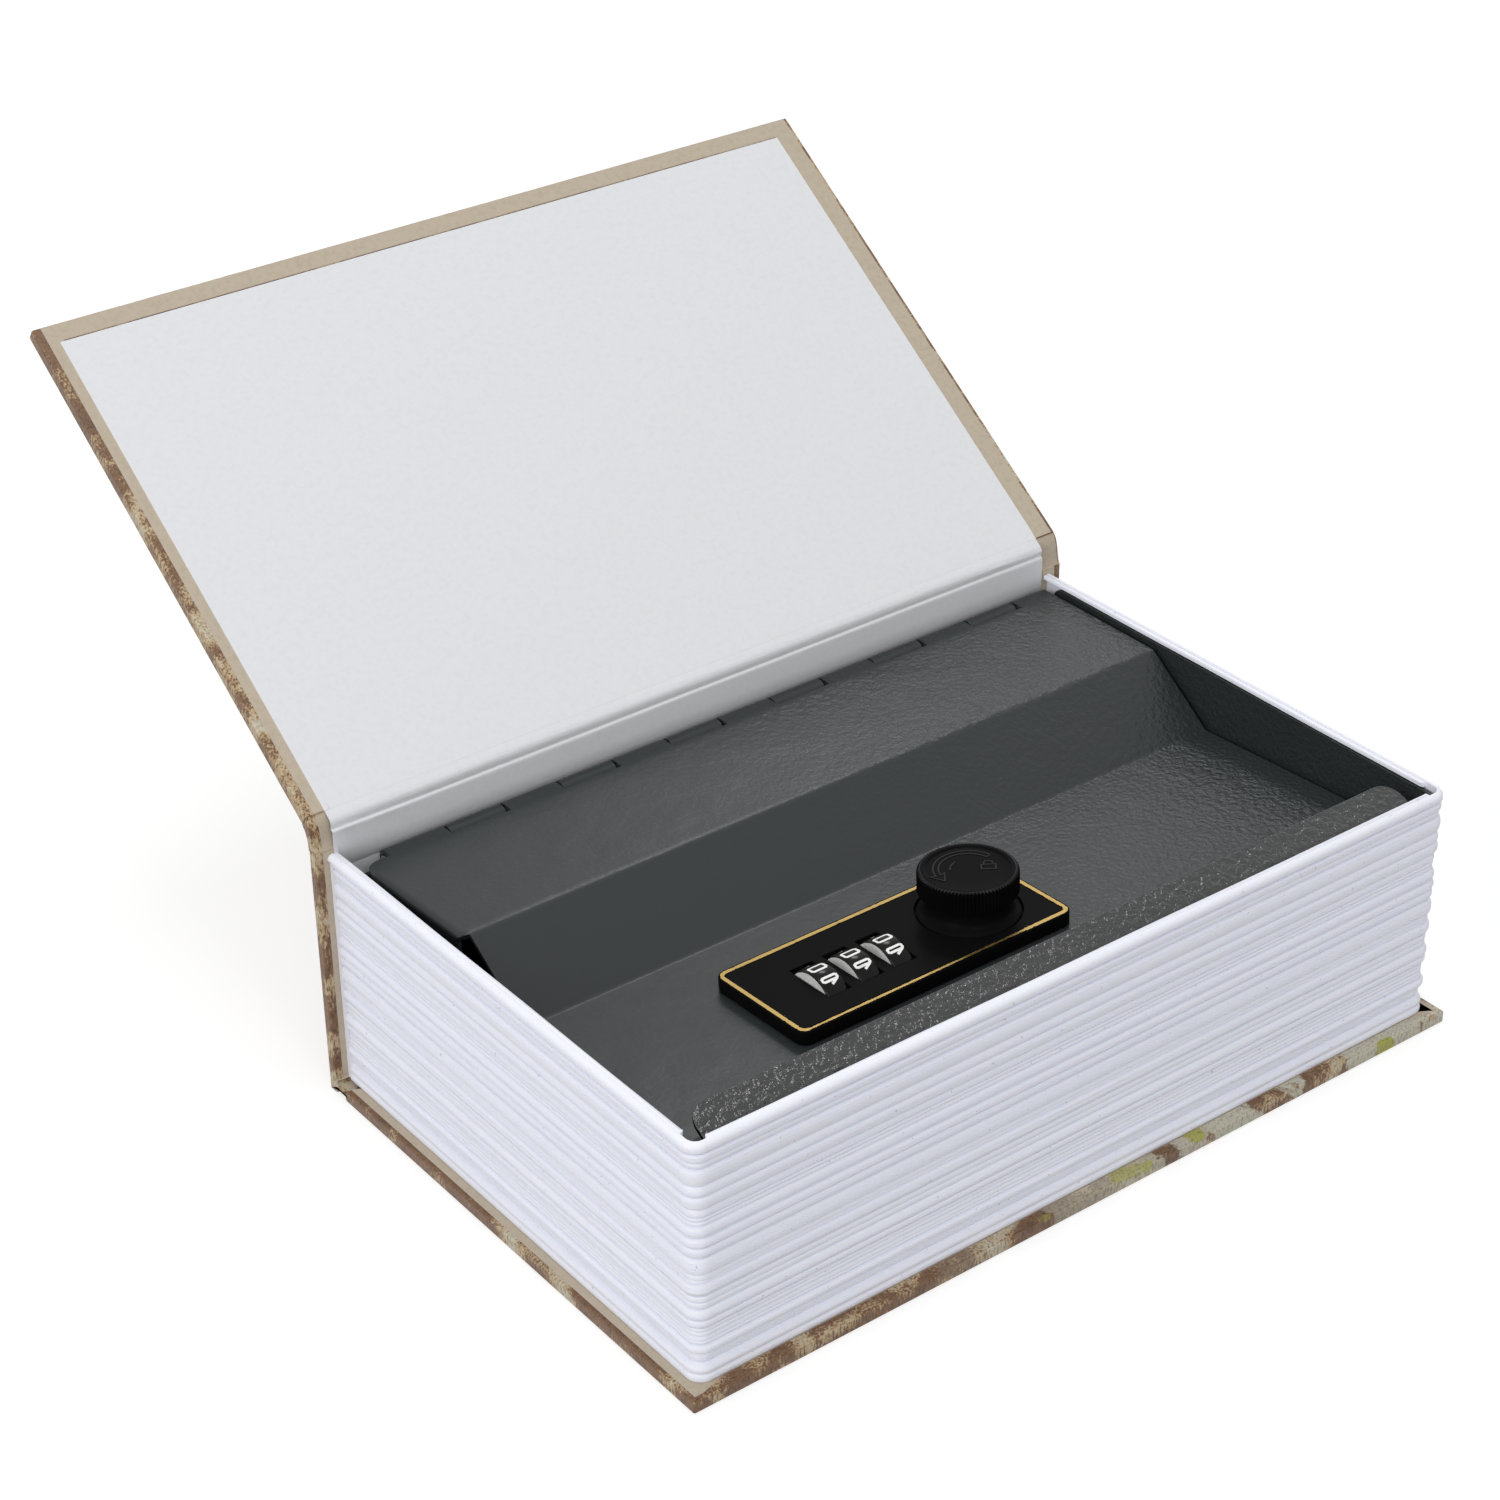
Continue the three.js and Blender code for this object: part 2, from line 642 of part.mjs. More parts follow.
function latchKeeper(underZ) {
  const y0 = boxFrontY + sheet + seatGap;
  const x = lockX + knobX;
  const z1 = underZ + keeperThickness;
  return box(x - keeperWidth / 2, x + keeperWidth / 2, y0, y0 + keeperReach, underZ, z1)
    .add(box(x - keeperWidth / 2, x + keeperWidth / 2, y0, y0 + keeperThickness, z1 - keeperDrop, z1));
}

function foamTape(centreY) {
  const z0 = coverThickness + restGap;
  const y0 = centreY - tapeWidth / 2;
  return box(-tapeLength / 2, tapeLength / 2, y0, y0 + tapeWidth, z0, boxBottomZ - restGap);
}

const hingePin = () => rodX(pinRadius, -lidHalfX + pinEndInset, lidHalfX - 1, pinY, pinZ, 20);

// Lid: bent sheet with its own knuckles, slots for the box knuckles, side flanges and the lock cut-out
function lidKnuckle(x0, x1) {
  const outline = [
    [pinY - 4, lidTopZ],
    ...arc(pinY, pinZ, knuckleRadius, 90, -155, 12),
    ...arc(pinY, pinZ, knuckleBore, -155, 90, 12),
    [pinY - 4, lidTopZ - sheet],
  ];
  return prismX(outline.reverse(), x0, x1);
}

function lidKnuckles() {
  const slotStart = firstKnuckleX - knuckleSideGap;
  const slotWidth = knuckleWidth + 2 * knuckleSideGap;
  let x0 = -lidHalfX + lidCornerNotch;
  const knuckles = [];
  for (let i = 0; i < knuckleCount; i += 1) {
    const x1 = slotStart + i * knucklePitch;
    knuckles.push(lidKnuckle(x0, x1));
    x0 = x1 + slotWidth;
  }
  knuckles.push(lidKnuckle(x0, lidHalfX));
  return knuckles;
}

function lidSheet() {
  const hem = [lidFrontY - lidHemHeight * Math.sin(tiltRad), lidFrontZ - lidHemHeight * Math.cos(tiltRad)];
  const rear = [pinY - lidNotchReach, lidTopZ];
  const corners = [hem, [lidFrontY, lidFrontZ], [creaseLowerY, lowerCreaseZ], [creaseUpperY, lidTopZ], rear];
  return prismX(bentSheet(corners, lidBendRadius, sheet, 5), -lidHalfX, lidHalfX);
}

// The left edge tapers in towards the upper crease, the right edge is straight
function lidSideFlange(side) {
  const y0 = creaseUpperY + 0.8;
  const y1 = pinY - lidFlangeRearInset;
  const rearX = lidHalfX - (side < 0 ? lidLeftTaperRear : 0);
  const frontX = lidHalfX - (side < 0 ? lidLeftTaperFront : 0);
  const outline = [
    [side * rearX, y1], [side * frontX, y0],
    [side * (frontX - sheet), y0], [side * (rearX - sheet), y1],
  ];
  const ordered = side < 0 ? outline : outline.reverse();
  return prismZ(ordered, lidTopZ - lidFlangeHeight, lidTopZ - 0.05);
}

function lidLeftTrim() {
  const notchY = pinY - lidNotchReach;
  const far = -lidHalfX - 1;
  const notchX = -lidHalfX + lidCornerNotch;
  const flangeEndY = pinY - lidFlangeRearInset;
  const taper = [
    [far, flangeEndY], [-lidHalfX + lidLeftTaperRear, flangeEndY],
    [-lidHalfX + lidLeftTaperFront, creaseUpperY + 0.8],
    [-lidHalfX + lidReliefWidth, creaseUpperY], [-lidHalfX + lidReliefWidth, creaseLowerY + 1],
    [-lidHalfX, creaseLowerY - 3], [far, creaseLowerY - 3],
  ];
  const r = lidNotchRadius;
  const cornerX = -lidHalfX + lidLeftTaperRear;
  const notch = [
    [far, flangeEndY - 0.5], [cornerX, flangeEndY - 0.5],
    ...arc(cornerX + r, notchY - r, r, 180, 90, 4),
    [notchX, notchY], [notchX, boxRearY + 1], [far, boxRearY + 1],
  ];
  return prismZ(taper.reverse(), lowerCreaseZ - 5, lidTopZ + 1)
    .add(prismZ(notch.reverse(), pinZ - 8, lidTopZ + 1));
}

function lid(lockCutouts) {
  const slotFront = pinY - knuckleRadius - lidSlotDepth;
  let solid = lidSheet();
  for (const knuckle of lidKnuckles()) solid = solid.add(knuckle);
  for (let i = 0; i < knuckleCount; i += 1) {
    const x0 = firstKnuckleX - knuckleSideGap + i * knucklePitch;
    const x1 = x0 + knuckleWidth + 2 * knuckleSideGap;
    solid = solid.subtract(box(x0, x1, slotFront, boxRearY + 1, pinZ - 5, lidTopZ + 1));
  }
  solid = solid.subtract(lidLeftTrim());
  for (const side of [-1, 1]) solid = solid.add(lidSideFlange(side));
  return solid.subtract(lockCutouts);
}

// Lock case: escutcheon with windows, body with the wheel chamber and the gear chamber
function bodyOutline() {
  return roundedRect(-bodyLength / 2, bodyLength / 2, -bodyDepth / 2, bodyDepth / 2, bodyCornerRadius, 3);
}

function lockCase() {
  const halfL = plateLength / 2;
  const halfD = plateDepth / 2;
  const plateOutline = roundedRect(-halfL, halfL, -halfD, halfD, plateCornerRadius);
  const plate = prismZ(plateOutline, seatGap, plateHeight, plateBevel);
  const wheelRoofZ = plateHeight - roofThickness;
  const openZ = bodyBottomZ - 1;
  const windowY0 = wheelAxisY - windowLength / 2;
  let solid = plate.add(prismZ(bodyOutline(), bodyBottomZ, 1))
    .subtract(box(wheelCavityX0, wheelCavityX1, cavityY0, cavityY1, openZ, wheelRoofZ))
    .subtract(box(gearCavityX0, gearCavityX1, -gearCavityHalfY, gearCavityHalfY, openZ, gearRoofZ))
    .add(rodZ(spindleRadius + spindleClearance + 1.4, gearRoofZ - 2.5, gearRoofZ + 0.5, knobX, 0, 24))
    .subtract(rodZ(collarRadius, recessFloorZ, plateHeight + 1, knobX, 0, 48))
    .subtract(rodZ(spindleRadius + spindleClearance, bodyBottomZ - 1, plateHeight + 1, knobX, 0, 24));
  for (let i = 0; i < wheelCount; i += 1) {
    const x = firstWheelX + i * wheelPitch;
    const windowX0 = x - windowWidth / 2;
    const windowX1 = windowX0 + windowWidth;
    solid = solid.subtract(box(windowX0, windowX1, windowY0, windowY0 + windowLength, 0, plateHeight + 1));
  }
  const axleHole = axleRadius + axleClearance;
  const axleEnd = gearCavityX0 + 0.5;
  const axleY0 = wheelAxisY - axleHole;
  solid = solid.subtract(rodX(axleHole, wheelCavityX0 - 1.5, axleEnd, wheelAxisY, wheelAxisZ, 20));
  solid = solid.subtract(box(wheelCavityX0 - 1.5, axleEnd, axleY0, axleY0 + 2 * axleHole, openZ, wheelAxisZ));
  const fenceZ = wheelAxisZ - fenceHeight / 2 - fenceGap;
  const fenceSlotY = cavityY0 + fenceThickness + 2 * fenceGap;
  const fenceSlotZ = fenceZ + fenceHeight + 2 * fenceGap;
  solid = solid.subtract(box(wheelCavityX1 - 0.5, axleEnd, cavityY0, fenceSlotY, fenceZ, fenceSlotZ));
  for (const [x, y] of clampScrews) {
    solid = solid.subtract(rodZ(clampScrewRadius + 0.1, seatGap - 1, recessFloorZ - 0.4, x, y, 16));
  }
  for (const [x, y] of backScrews) {
    solid = solid.subtract(rodZ(backScrewRadius + 0.1, bodyBottomZ - 1, bodyBottomZ + 4.2, x, y, 16));
  }
  const grooveWidth = borderWidth + 2 * borderGap;
  const grooveFloorZ = plateHeight - borderDepth - borderGap;
  return solid.subtract(borderRing(borderInset - borderGap, grooveWidth, grooveFloorZ, plateHeight + 1));
}

function borderRing(inset, width, z0, z1) {
  const ring = (d) => {
    const halfL = plateLength / 2 - d;
    const halfD = plateDepth / 2 - d;
    return roundedRect(-halfL, halfL, -halfD, halfD, Math.max(plateCornerRadius - d, 0.4));
  };
  return prismZ(ring(inset), z0, z1).subtract(prismZ(ring(inset + width), z0 - 1, z1 + 1));
}

function goldBorder() {
  return borderRing(borderInset, borderWidth, plateHeight - borderDepth, plateHeight + borderStand);
}

function lathe(profile, segments) {
  return new THREE.LatheGeometry(profile.map(([r, h]) => new THREE.Vector2(r, h)), segments);
}

// A revolved ring along X, its profile given as radius and place along the axis
function turnedX(profile, segments, x, y, z) {
  const geometry = lathe(profile, segments);
  geometry.rotateZ(-Math.PI / 2);
  return toSolid(geometry.translate(x, y, z));
}

function numberWheel(x) {
  const half = wheelWidth / 2;
  const chamfer = 0.3;
  const profile = [
    [wheelBore, -half], [wheelRadius - chamfer, -half], [wheelRadius, -half + chamfer],
    [wheelRadius, half - chamfer], [wheelRadius - chamfer, half], [wheelBore, half], [wheelBore, -half],
  ];
  return turnedX(profile, 40, x, wheelAxisY, wheelAxisZ);
}

// Star-shaped disc with ten detents and one gate, on a sleeve inside the number wheel
function codeSleeve(x) {
  const discX = x + discOffset;
  const star = [];
  for (let i = 0; i < detentCount; i += 1) {
    const step = 360 / detentCount;
    star.push(...arc(0, 0, codeDiscRadius, i * step - step * 0.3, i * step + step * 0.3, 2));
    const valley = (i + 0.5) * step;
    star.push(arc(0, 0, codeDiscRadius - detentDepth, valley, valley, 1)[0]);
  }
  const outline = star.map(([y, z]) => [y + wheelAxisY, z + wheelAxisZ]);
  const sleeve = wheelBore - sleeveGap;
  const gateY0 = wheelAxisY - codeDiscRadius - 1;
  const gateY1 = wheelAxisY - codeDiscRadius + gateDepth;
  const gateZ = wheelAxisZ - gateWidth / 2;
  return prismX(outline, discX - codeDiscWidth / 2, discX + codeDiscWidth / 2)
    .add(rodX(sleeve, x - wheelWidth / 2, discX + codeDiscWidth / 2, wheelAxisY, wheelAxisZ, 20))
    .subtract(box(discX - 2, discX + 2, gateY0, gateY1, gateZ, gateZ + gateWidth))
    .subtract(rodX(axleRadius + axleClearance, x - wheelWidth, discX + wheelWidth, wheelAxisY, wheelAxisZ, 20));
}

const axleX0 = wheelCavityX0 - 1.3;
const wheelAxle = () => rodX(axleRadius, axleX0, gearCavityX0 - 0.1, wheelAxisY, wheelAxisZ, 20);

// Spring strip behind the wheels, one finger for each star disc
function detentSpring() {
  const y1 = cavityY1 - 0.1;
  const y0 = y1 - springLeaf;
  const footZ = bodyBottomZ + 0.3;
  const stripTop = footZ + 2.6;
  let solid = box(firstWheelX, wheelCavityX1 - 0.4, y0, y1, footZ, stripTop);
  const tipY = wheelAxisY + codeDiscRadius + toothGap;
  const bend = [[y0, stripTop - 0.5], [y0, wheelAxisZ - 1.8], [tipY, wheelAxisZ]];
  const finger = bentSheet(bend, 0.5, springLeaf, 3);
  for (let i = 0; i < wheelCount; i += 1) {
    const x = firstWheelX + i * wheelPitch + discOffset;
    solid = solid.add(prismX(finger, x - 0.5, x + 0.5));
  }
  return solid;
}

// Fence bar in front of the wheels, one tooth for each gate, with a lug beside the spindle
function fenceBar() {
  const y0 = cavityY0 + 0.15;
  const y1 = y0 + fenceThickness;
  const toothTipY = wheelAxisY - codeDiscRadius - toothGap;
  const z0 = wheelAxisZ - fenceHeight / 2;
  const lugX = knobX - spindleRadius - 2.4;
  let solid = box(firstWheelX, lugX, y0, y1, z0, z0 + fenceHeight)
    .add(box(lugX - 1.4, lugX, y0, -spindleRadius, z0, z0 + fenceHeight));
  for (let i = 0; i < wheelCount; i += 1) {
    const x = firstWheelX + i * wheelPitch + discOffset;
    const toothZ = wheelAxisZ - 0.5;
    solid = solid.add(box(x - 0.5, x + 0.5, y1 - 0.2, toothTipY, toothZ, toothZ + 1));
  }
  return solid;
}

function lockBackPlate() {
  const slot = roundedRect(
    resetX - resetTabLength / 2 - resetGap, resetX + resetTabLength / 2 + resetTravel + resetGap,
    resetY - resetTabLength / 2 - resetGap, resetY + resetTabLength / 2 + resetGap, 0.5, 3,
  );
  let solid = prismZ(bodyOutline(), backPlateBottomZ, backPlateTopZ)
    .subtract(rodZ(spindleRadius + spindleClearance, backPlateBottomZ - 1, backPlateTopZ + 1, knobX, 0, 24))
    .subtract(prismZ(slot, backPlateBottomZ - 1, backPlateTopZ + 1));
  for (const [x, y] of backScrews) {
    solid = solid.subtract(rodZ(backScrewRadius + screwHoleGap, backPlateBottomZ - 1, backPlateTopZ + 1, x, y, 16));
  }
  return solid;
}

function bodyHole(z0, z1) {
  const halfX = bodyLength / 2 + bodyHoleGap;
  const halfY = bodyDepth / 2 + bodyHoleGap;
  return box(-halfX, halfX, -halfY, halfY, z0, z1);
}

function clampFrame() {
  const halfL = clampScrewX + clampMargin;
  const halfD = bodyDepth / 2 + clampMargin;
  let solid = prismZ(roundedRect(-halfL, halfL, -halfD, halfD, 2, 4), clampBottomZ, clampTopZ)
    .subtract(bodyHole(clampBottomZ - 1, clampTopZ + 1));
  for (const [x, y] of clampScrews) {
    solid = solid.subtract(rodZ(clampScrewRadius + screwHoleGap, clampBottomZ - 1, clampTopZ + 1, x, y, 16));
  }
  return solid;
}

// Pan-head screw with a cross recess, head below
function screw(x, y, headTopZ, length, radius) {
  const headRadius = radius * 2;
  const headHeight = radius * 1.2;
  const profile = [
    [0, -headHeight], [headRadius * 0.7, -headHeight], [headRadius, -headHeight * 0.45], [headRadius, 0],
    [radius, 0], [radius, length - radius], [radius * 0.4, length], [0, length],
  ];
  const geometry = lathe(profile, 16);
  geometry.rotateX(Math.PI / 2);
  geometry.translate(x, y, headTopZ);
  const arm = headRadius * 0.55;
  const slot = radius * 0.2;
  const z0 = headTopZ - headHeight - 1;
  const z1 = headTopZ - headHeight * 0.45;
  return toSolid(geometry)
    .subtract(box(x - arm, x + arm, y - slot, y + slot, z0, z1))
    .subtract(box(x - slot, x + slot, y - arm, y + arm, z0, z1));
}

const camScrew = () => screw(knobX, 0, camBottomZ - restGap, camScrewLength, camScrewRadius);
const clampScrew = (x, y) => screw(x, y, clampBottomZ - restGap, clampScrewLength, clampScrewRadius);
const backScrew = (x, y) => screw(x, y, backPlateBottomZ - restGap, backScrewLength, backScrewRadius);

function lockCutouts() {
  let solid = bodyHole(-4, 3);
  const holeRadius = clampScrewRadius + screwHoleGap;
  for (const [x, y] of clampScrews) solid = solid.add(rodZ(holeRadius, -4, 3, x, y, 16));
  return solid;
}

// Knob: knurled head on a flared skirt, blind bore below
function knob() {
  const knurl = [];
  for (let i = 0; i < knurlTeeth; i += 1) {
    const step = 360 / knurlTeeth;
    knurl.push(...arc(0, 0, knobRadius, i * step - step * 0.22, i * step + step * 0.22, 1));
    const valley = (i + 0.5) * step;
    knurl.push(arc(0, 0, knobRadius - knurlDepth, valley, valley, 1)[0]);
  }
  const headZ = knobTopZ - knurlHeight;
  const core = knobRadius - knurlDepth - 0.2;
  const foot = collarRadius - spindleClearance;
  const profile = [
    [0, knobBottomZ], [foot, knobBottomZ], [foot, knobBottomZ + 0.5], [foot - 0.9, knobBottomZ + 1],
    [skirtWaist + 0.4, knobBottomZ + 2], [skirtWaist, headZ - 0.9], [skirtWaist + 0.3, headZ - 0.3],
    [core, headZ + 0.2], [core, knobTopZ - 0.6], [core - 0.6, knobTopZ], [0, knobTopZ],
  ];
  const body = lathe(profile, 48);
  body.rotateX(Math.PI / 2);
  body.translate(knobX, 0, 0);
  const ring = prismZ(knurl.map(([x, y]) => [x + knobX, y]), headZ, knobTopZ - 0.35);
  return toSolid(body).add(ring)
    .subtract(rodZ(spindleRadius + 0.12, knobBottomZ - 1, spindleTopZ + 0.15, knobX, 0, 24));
}

function knobSpindle() {
  const squareTop = camTopZ + 0.05;
  const half = camSquare / 2;
  return rodZ(spindleRadius, squareTop, spindleTopZ, knobX, 0, 24)
    .add(box(knobX - half, knobX + half, -half, half, camBottomZ, squareTop + 0.5))
    .subtract(rodZ(camScrewRadius + 0.12, camBottomZ - 1, camBottomZ + 7, knobX, 0, 16));
}

function latchCam() {
  const half = camWidth / 2;
  const hole = camSquare / 2 + 0.12;
  const tip = knobX + camReach;
  const outline = [
    ...arc(knobX, 0, half, 90, 270, 10), [tip - 2, -half], ...arc(tip - 2, -half + 2, 2, -90, 0, 3),
    ...arc(tip - 2, half - 2, 2, 0, 90, 3),
  ];
  return prismZ(outline, camBottomZ, camTopZ)
    .subtract(box(knobX - hole, knobX + hole, -hole, hole, camBottomZ - 1, camTopZ + 1));
}

function resetSlide() {
  const z0 = bodyBottomZ + 0.25;
  const halfL = resetBodyLength / 2;
  const halfD = resetBodyDepth / 2;
  const tab = resetTabLength / 2;
  return box(resetX - halfL, resetX + halfL, resetY - halfD, resetY + halfD, z0, z0 + resetBodyHeight)
    .add(box(resetX - tab, resetX + tab, resetY - tab, resetY + tab, backPlateBottomZ - resetTabReach, z0 + 0.2));
}

// Assembly
const materials = {
  print: { color: 0x9a8a72, roughness: 0.55, metalness: 0 },
  greyboard: { color: 0x9b9588, roughness: 0.9, metalness: 0 },
  endpaper: { color: 0xe6e5e3, roughness: 0.8, metalness: 0 },
  pages: { color: 0xe9e8f2, roughness: 0.45, metalness: 0 },
  foam: { color: 0xd8d8d4, roughness: 0.9, metalness: 0 },
  powder: { color: 0x4c5052, roughness: 0.5, metalness: 0.1 },
  lockBlack: { color: 0x141415, roughness: 0.35, metalness: 0 },
  gold: { color: 0xc2a35c, roughness: 0.35, metalness: 0.8 },
  steel: { color: 0x8e9194, roughness: 0.3, metalness: 1 },
  brass: { color: 0xb8994f, roughness: 0.3, metalness: 1 },
};

function mesh(name, solid, finish) {
  const piece = new THREE.Mesh(toGeometry(solid), new THREE.MeshStandardMaterial(materials[finish]));
  piece.name = name;
  return piece;
}

const safe = new THREE.Group();
const frontCover = new THREE.Group();
const closedFrame = new THREE.Group();
const lock = new THREE.Group();

frontCover.position.set(0, hingeY, hingeZ);
frontCover.rotation.x = -openRad;
closedFrame.position.set(0, -hingeY, -hingeZ);
frontCover.add(closedFrame);
lock.position.set(lockX, lockY, lowerFlatZ(lockY));
lock.rotation.x = -tiltRad;
lock.updateMatrixWorld();

const lockMatrix = lock.matrixWorld.clone();
const cutouts = lockCutouts().transform(lockMatrix.toArray());
const camFrontZ = new THREE.Vector3(knobX, -camReach, camTopZ).applyMatrix4(lockMatrix).z;

safe.add(
  mesh("back_cover_board", backBoard(), "greyboard"),
  mesh("spine_board", spineBoard(), "greyboard"),
  mesh("case_wrap", backWrap(), "print"),
  mesh("back_endpaper", backEndpaper(), "endpaper"),
  mesh("spine_lining", spineLining(), "endpaper"),
  mesh("outer_joint_paper", outerJoint(), "print"),
  mesh("inner_joint_paper", innerJoint(), "endpaper"),
  mesh("page_block", pageBlock(), "pages"),
  mesh("steel_box", steelBox(), "powder"),
  mesh("latch_keeper", latchKeeper(camFrontZ + latchGap), "steel"),
  mesh("hinge_pin", hingePin(), "steel"),
  mesh("foam_tape_1", foamTape(-tapeSpacing / 2), "foam"),
  mesh("foam_tape_2", foamTape(tapeSpacing / 2), "foam"),
  mesh("lid", lid(cutouts), "powder"),
  frontCover,
  lock,
);

closedFrame.add(
  mesh("front_cover_board", frontBoard(), "greyboard"),
  mesh("front_cover_wrap", frontWrap(), "print"),
  mesh("front_endpaper", frontEndpaper(), "endpaper"),
);

lock.add(
  mesh("lock_case", lockCase(), "lockBlack"),
  mesh("gold_border", goldBorder(), "gold"),
  mesh("wheel_axle", wheelAxle(), "steel"),
  mesh("detent_spring", detentSpring(), "steel"),
  mesh("fence_bar", fenceBar(), "brass"),
  mesh("lock_back_plate", lockBackPlate(), "lockBlack"),
  mesh("clamp_frame", clampFrame(), "steel"),
  mesh("knob", knob(), "lockBlack"),
  mesh("knob_spindle", knobSpindle(), "steel"),
  mesh("latch_cam", latchCam(), "steel"),
  mesh("cam_screw", camScrew(), "steel"),
  mesh("reset_slide", resetSlide(), "lockBlack"),
);

for (let i = 0; i < wheelCount; i += 1) {
  const x = firstWheelX + i * wheelPitch;
  lock.add(mesh(`number_wheel_${i + 1}`, numberWheel(x), "lockBlack"));
  lock.add(mesh(`code_sleeve_${i + 1}`, codeSleeve(x), "brass"));
}

clampScrews.forEach(([x, y], i) => {
  lock.add(mesh(`clamp_screw_${i + 1}`, clampScrew(x, y), "steel"));
});

backScrews.forEach(([x, y], i) => {
  lock.add(mesh(`back_plate_screw_${i + 1}`, backScrew(x, y), "steel"));
});

export default safe;
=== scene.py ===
"""Book diversion safe, dressed for the photograph.

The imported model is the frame. Sizes below are millimetres in its axes: +X along the spine, +Y towards the
spine, +Z up, origin under the middle of the back cover. The front cover lies folded back.
"""

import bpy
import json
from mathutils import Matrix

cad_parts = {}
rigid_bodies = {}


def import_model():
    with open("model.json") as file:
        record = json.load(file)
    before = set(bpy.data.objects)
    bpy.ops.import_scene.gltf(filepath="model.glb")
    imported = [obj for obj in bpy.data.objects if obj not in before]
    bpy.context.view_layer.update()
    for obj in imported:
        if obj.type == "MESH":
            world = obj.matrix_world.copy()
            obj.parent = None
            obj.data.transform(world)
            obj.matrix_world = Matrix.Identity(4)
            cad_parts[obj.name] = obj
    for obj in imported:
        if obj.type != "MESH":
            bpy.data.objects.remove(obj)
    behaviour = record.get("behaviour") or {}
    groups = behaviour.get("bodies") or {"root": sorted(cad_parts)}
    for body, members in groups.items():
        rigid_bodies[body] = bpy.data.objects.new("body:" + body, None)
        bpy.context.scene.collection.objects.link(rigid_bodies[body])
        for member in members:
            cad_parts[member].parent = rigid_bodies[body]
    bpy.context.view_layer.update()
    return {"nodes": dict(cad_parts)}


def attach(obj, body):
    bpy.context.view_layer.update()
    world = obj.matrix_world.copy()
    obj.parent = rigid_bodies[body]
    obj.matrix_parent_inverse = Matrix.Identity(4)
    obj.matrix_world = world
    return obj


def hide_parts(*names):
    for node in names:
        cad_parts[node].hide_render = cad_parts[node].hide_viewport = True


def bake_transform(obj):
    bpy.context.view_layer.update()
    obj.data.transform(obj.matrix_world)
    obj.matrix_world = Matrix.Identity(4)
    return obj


bl_info = {
    "name": "Book safe",
    "version": (1, 0, 0),
    "blender": (4, 5, 0),
    "location": "3D View > Sidebar > Book safe",
    "description": "Dresses the packed model of a book-shaped steel safe with its papers, paint and lock details",
    "category": "Object",
}

import json
import math

import bmesh
import bpy
import numpy as np
from bpy.props import FloatProperty, FloatVectorProperty, IntProperty, PointerProperty
from mathutils import Matrix, Vector

for leftover in list(bpy.data.objects):
    bpy.data.objects.remove(leftover)
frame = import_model()

MM = 0.001
# In metres: corners nearer than this are one, and how far the coat rolls over the lid's left edge
WELD_DISTANCE, ROLLED_EDGE = 2e-6, 0.0016
FLAT_ANGLE = math.radians(0.6)


def linear(hex_colour):
    """An sRGB hex colour as linear RGBA."""
    channels = [int(hex_colour[i:i + 2], 16) / 255 for i in (1, 3, 5)]
    return tuple(c / 12.92 if c <= 0.04045 else ((c + 0.055) / 1.055) ** 2.4 for c in channels) + (1.0,)


# Stage: where the lamps aim, and the photo camera's azimuth, elevation, roll and place, in degrees and metres
AIM, CAMERA_ANGLES, CAMERA_PLACE = (0, 0, 0.03), (-37.06, 30.89, -0.73), (-0.33508, -0.39962, 0.37964)

# Book case
HALF_LENGTH, HALF_DEPTH, THICKNESS = 90.0, 57.5, 55.0
COVER_THICKNESS, PAPER, SPINE_INNER_Y, SPINE_TOP_Z = 2.6, 0.35, 55.4, 53.2
COVER_INNER_Z = THICKNESS - COVER_THICKNESS
FRONT_BOARD_REAR_Y = 53.0
HINGE_Y, HINGE_Z, OPEN_ANGLE = 56.5, 55.4, math.radians(144.5)
ENDPAPER_LEFT_X, ENDPAPER_RIGHT_X, ENDPAPER_FRONT_Y, ENDPAPER_LIFT = -86.0, 84.95, -53.35, 0.06
# Where the print ends on the inside: round the spine, on the back cover and at either end of the front cover
SPINE_PRINT_X, BACK_PRINT_X, BACK_PRINT_Y = HALF_LENGTH - 1.7, HALF_LENGTH - 1.0, -56.4
COVER_PRINT_LEFT_X, COVER_PRINT_RIGHT_X = -HALF_LENGTH + 1.8, HALF_LENGTH - 0.8

# Page block
BLOCK_X, BLOCK_FRONT_Y, BLOCK_REAR_Y = 87.6, -55.1, 55.35
BLOCK_TOP_Z, BLOCK_BOTTOM_Z = 52.1, 2.65
RIB_DEPTH, WEB, CORNER_RADIUS, RIM_ROUND = 0.5, 0.8, 3.2, 1.1
GROOVE_BELOW, GROOVE_ROUND, PAGE_LEAN, PAGE_CROWN = 0.6, 0.24, 0.28, 0.44
LIP_THICKNESS, PLAIN_RIM, PLAIN_STRIP, FAR_FROM_STRIP = 0.9, 1.6, 1.3, 9.0
# Height of each bundle of pages from the top, and how proud it stands between groove 0 and full rib 1
PAGE_BUNDLES = (
    (2.4, 0.9), (1.6, 0.7), (1.4, 0.45), (3.2, 1), (2.2, 0.7), (2.6, 1), (1.8, 0.5), (0.9, 0.35), (0.9, 0.3),
    (2.3, 0.75), (2.0, 0.95), (2.3, 0.7), (3.1, 1), (1.3, 0.5), (0.8, 0.3), (2.7, 1), (1.3, 0.5), (1.4, 0.45),
    (2.2, 1), (1.8, 0.7), (0.9, 0.3), (0.9, 0.35), (0.9, 0.3), (0.9, 0.35), (1.6, 1), (2.5, 0.25), (1.8, 0.85),
    (1.75, 0.9),
)

